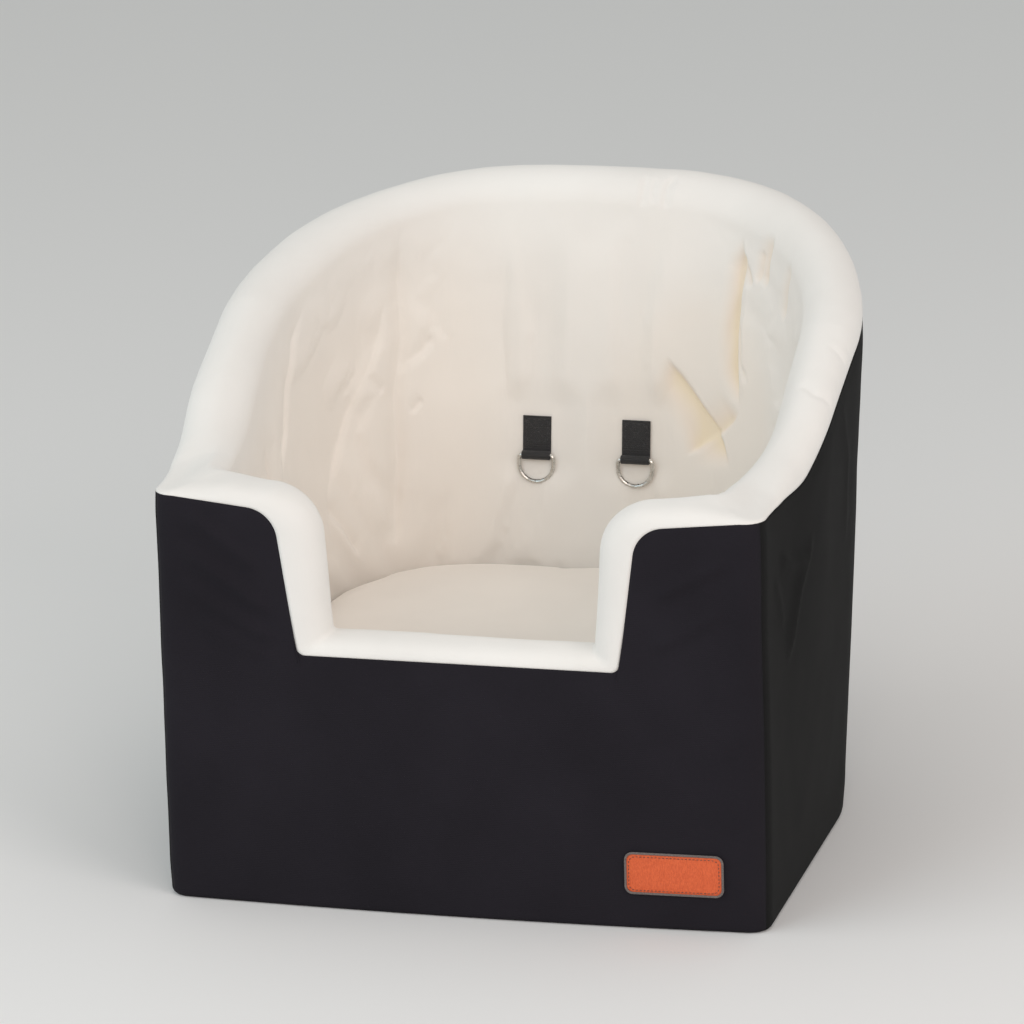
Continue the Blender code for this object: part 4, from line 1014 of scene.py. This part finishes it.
def make_belt_loops(webbing, thread):
    low, high = CLEARANCE + LOOP_WEB / 2, LOOP_STAND + LOOP_WEB / 2
    whole = 2 * (LOOP_SEWN + LOOP_RAMP) + LOOP_SPAN
    z = np.linspace(0, whole, 64)
    share = ease((np.minimum(z, whole - z) - LOOP_SEWN) / LOOP_RAMP)
    line = np.stack([low + (high - low) * share, LOOP_BASE + z], -1)
    top = CLEARANCE + LOOP_WEB + STITCH_LIFT
    half = LOOP_WIDTH / 2 - LOOP_STITCH_INSET
    for side, name in SIDES:
        x = side * LOOP_X
        strap = strip(f"{name}_belt_strap", line, LOOP_WIDTH, LOOP_WEB, webbing, x)
        finish_piece(strap, [f"{name}_belt_loop"])
        runs = []
        for start in (LOOP_BASE + 0.003, LOOP_BASE + whole - LOOP_SEWN + 0.001):
            runs += box_runs(x, half, start, start + LOOP_SEWN - LOOP_STITCH_INSET, top)
        stitches(f"{name}_belt_strap_stitches", runs, thread, "black_webbing")


def make_ring_tabs(webbing, thread):
    centre = -(CLEARANCE + TAB_EYE + TAB_WEB)
    eye = TAB_EYE + TAB_WEB / 2
    angles = np.linspace(0, TAB_EYE_TURN, 40)
    flat = np.linspace(TAB_LENGTH, TAB_NECK, 12)
    n = np.concatenate([np.full(len(flat), -CLEARANCE - TAB_WEB / 2), centre + eye * np.cos(angles)])
    z = np.concatenate([flat, -eye * np.sin(angles)]) + RING_AXIS_HEIGHT
    line = np.stack([n, z], -1)
    low, high = RING_AXIS_HEIGHT + 0.012, RING_AXIS_HEIGHT + TAB_LENGTH - TAB_STITCH_INSET
    for side, name in SIDES:
        x = side * RING_X
        tab = strip(f"{name}_ring_strap", line, TAB_WIDTH, TAB_WEB, webbing, x, WALL)
        finish_piece(tab, [f"{name}_ring_tab"])
        half = TAB_WIDTH / 2 - TAB_STITCH_INSET
        runs = box_runs(x, half, low, high, -CLEARANCE - TAB_WEB - STITCH_LIFT, WALL)
        stitches(f"{name}_ring_strap_stitches", runs, thread, "black_webbing")


def make_zip_tapes(tape, thread):
    line = [(-TAPE_THICKNESS / 2, z) for z in np.linspace(ZIP_BOTTOM, ZIP_TOP, 80)]
    for side, name in SIDES:
        x = side * (TAPE_INNER_X + TAPE_OUTER_X) / 2
        web = strip(f"{name}_tape", line, TAPE_OUTER_X - TAPE_INNER_X, TAPE_THICKNESS, tape, x)
        finish_piece(web, [f"{name}_zip_tape"])
        runs = [[back_point(side * (ZIP_HALF + inset), TOPSTITCH_LIFT, z)
                 for z in np.linspace(*TOPSTITCH_ENDS, 60)] for inset in TOPSTITCH_INSETS]
        stitches(f"{name}_zip_topstitch", runs, thread, "charcoal_canvas")


def make_patch(woven, border, thread):
    """A plain woven patch: a slightly padded field, an overlocked border and a run of stitches inside it."""
    middle = (HALF - PATCH_SIDE_GAP - PATCH_WIDTH / 2, PATCH_BASE_GAP + PATCH_HEIGHT / 2)
    half = (PATCH_WIDTH / 2 - PATCH_RADIUS, PATCH_HEIGHT / 2 - PATCH_RADIUS)
    corners = np.array([(1, 1), (-1, 1), (-1, -1), (1, -1)])[:, None] * half
    turns = np.linspace(0, math.pi / 2, 9) + np.arange(4)[:, None] * math.pi / 2
    outline = (corners + PATCH_RADIUS * np.stack([np.cos(turns), np.sin(turns)], -1)).reshape(-1, 2)

    def on_front(ring, lift):
        """A ring of x and z round the patch's middle, laid on the canvas in front."""
        x, z = (ring + middle).T
        return np.stack([x, FRONT_Y - lift - front_swell(x, z), z], -1)

    rings = [on_front(outline - np.sign(outline) * np.minimum(inset, np.abs(outline)), lift)
             for inset, lift in PATCH_RINGS]
    field = grid_object("patch_field", np.stack(rings, 1), woven, wrap=True)
    capped(field, len(rings), Vector((0, -1, 0)))
    thicken(field, PATCH_THICKNESS)
    finish_piece(field, ["label_patch"])
    lift, radius = PATCH_BORDER
    edge = tube("patch_border", on_front(outline, lift), radius, border)
    finish_piece(edge, [])
    inner = on_front(outline * PATCH_STITCH_SHARES, PATCH_STITCH_LIFT)
    runs = [np.concatenate([inner, inner[:1]])]
    stitches("patch_stitches", runs, thread, "woven_patch", *PATCH_STITCHES)


# Stage, camera and light

CAMERA_AZIMUTH = 14.77
CAMERA_ELEVATION = 17.4922
CAMERA_DISTANCE = 5.9961
CAMERA_FOCUS = (0.0, -0.0025, 0.25)
CAMERA_ROLL = 1.5381
FOCAL_PIXELS = 7172.94
PICTURE = 1024
PICTURE_SHIFT = (12.90, 30.06)  # pixels right and down
LIGHT_TARGET = (0.0, 0.0, 0.25)
SENSOR = 36.0  # millimetres
# Name, place, size, power and colour
LIGHTS = [
    ("key", (-1.7, -2.6, 2.5), 2.0, 19, (0.70, 0.90, 1.0)),
    ("front", (1.3, -4.0, 2.0), 1.6, 32, (1.0, 0.84, 0.77)),
    ("side", (2.6, -2.0, 1.8), 1.8, 31, (1.0, 0.91, 0.89)),
    ("top", (0.1, -0.5, 3.0), 2.2, 11, (1.0, 0.85, 0.76)),
    ("left", (-2.8, -1.4, 1.4), 1.6, 16, (0.92, 0.98, 1.0)),
]
WORLD_COLOUR = (0.98, 1.0, 0.98, 1)
WORLD_STRENGTH = 0.52


def make_camera():
    data = bpy.data.cameras.new("camera")
    data.sensor_width = SENSOR
    data.lens = FOCAL_PIXELS / PICTURE * SENSOR
    data.shift_x = -PICTURE_SHIFT[0] / PICTURE
    data.shift_y = PICTURE_SHIFT[1] / PICTURE
    data.clip_end = 50
    camera = bpy.data.objects.new("camera", data)
    bpy.context.scene.collection.objects.link(camera)
    angles = (CAMERA_AZIMUTH, 90 - CAMERA_ELEVATION, -CAMERA_ROLL)
    place = Matrix.Translation(CAMERA_FOCUS)
    for angle, axis in zip(angles, "ZXZ"):
        place @= Matrix.Rotation(math.radians(angle), 4, axis)
    camera.matrix_world = place @ Matrix.Translation((0, 0, CAMERA_DISTANCE))
    bpy.context.scene.camera = camera


def area_light(name, place, size, power, tint):
    data = bpy.data.lights.new(name, "AREA")
    data.size = size
    data.energy = power
    data.color = tint
    light = bpy.data.objects.new(name, data)
    bpy.context.scene.collection.objects.link(light)
    light.location = place
    aim = Vector(LIGHT_TARGET) - Vector(place)
    light.rotation_euler = aim.to_track_quat("-Z", "Y").to_euler()


def make_stage():
    mesh = bpy.data.meshes.new("studio_floor")
    with editing(mesh) as bm:
        bmesh.ops.create_grid(bm, x_segments=2, y_segments=2, size=6)
    grey = Finish("studio_floor", Base_Color=(0.82, 0.82, 0.82, 1), Roughness=0.9).material
    link("studio_floor", mesh, grey)
    world = bpy.data.worlds.new("studio")
    world.use_nodes = True
    background = world.node_tree.nodes["Background"].inputs
    background["Color"].default_value = WORLD_COLOUR
    background["Strength"].default_value = WORLD_STRENGTH
    bpy.context.scene.world = world
    for light in LIGHTS:
        area_light(*light)
    bpy.context.scene.view_settings.view_transform = "Standard"


def main():
    # The canvas is one fabric in two copies: the front's has a purple tint that stands in for the colour of
    # the light on it, and the darker, neutral copy on the sides and the base is painted shade.
    canvas = canvas_material("charcoal_canvas", (0.0112, 0.0096, 0.0136), (0.0144, 0.0124, 0.0174))
    painted_shade_canvas = canvas_material("painted_shade_canvas", (0.0062, 0.0062, 0.0064), (0.0082, 0.0082, 0.0084))
    cream = cream_material()
    foam = foam_material()
    metal = metal_material()
    make_camera()
    make_stage()
    solids = {"foam": foam, "fill": foam, "teeth": plastic_material(),
              "slider": metal, "pull": metal, "stop": metal, "tether_ring": metal}
    for name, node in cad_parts.items():
        for word, finish in solids.items():
            if word in name:
                recolour(node.data, finish)
    make_liner(cream)
    make_cover(canvas, painted_shade_canvas)
    make_floors(painted_shade_canvas, cream)
    make_cushion(cream)
    webbing = webbing_material("black_webbing", (0.010, 0.010, 0.011), 900)
    tape = webbing_material("zip_tape_cloth", (0.012, 0.011, 0.014), 1400)
    thread = webbing_material("dark_thread", (0.030, 0.029, 0.032), 3000)
    border = webbing_material("patch_thread", (0.115, 0.098, 0.092), 3000)
    make_belt_loops(webbing, thread)
    make_ring_tabs(webbing, thread)
    make_zip_tapes(tape, thread)
    make_patch(patch_material(), border, thread)


main()
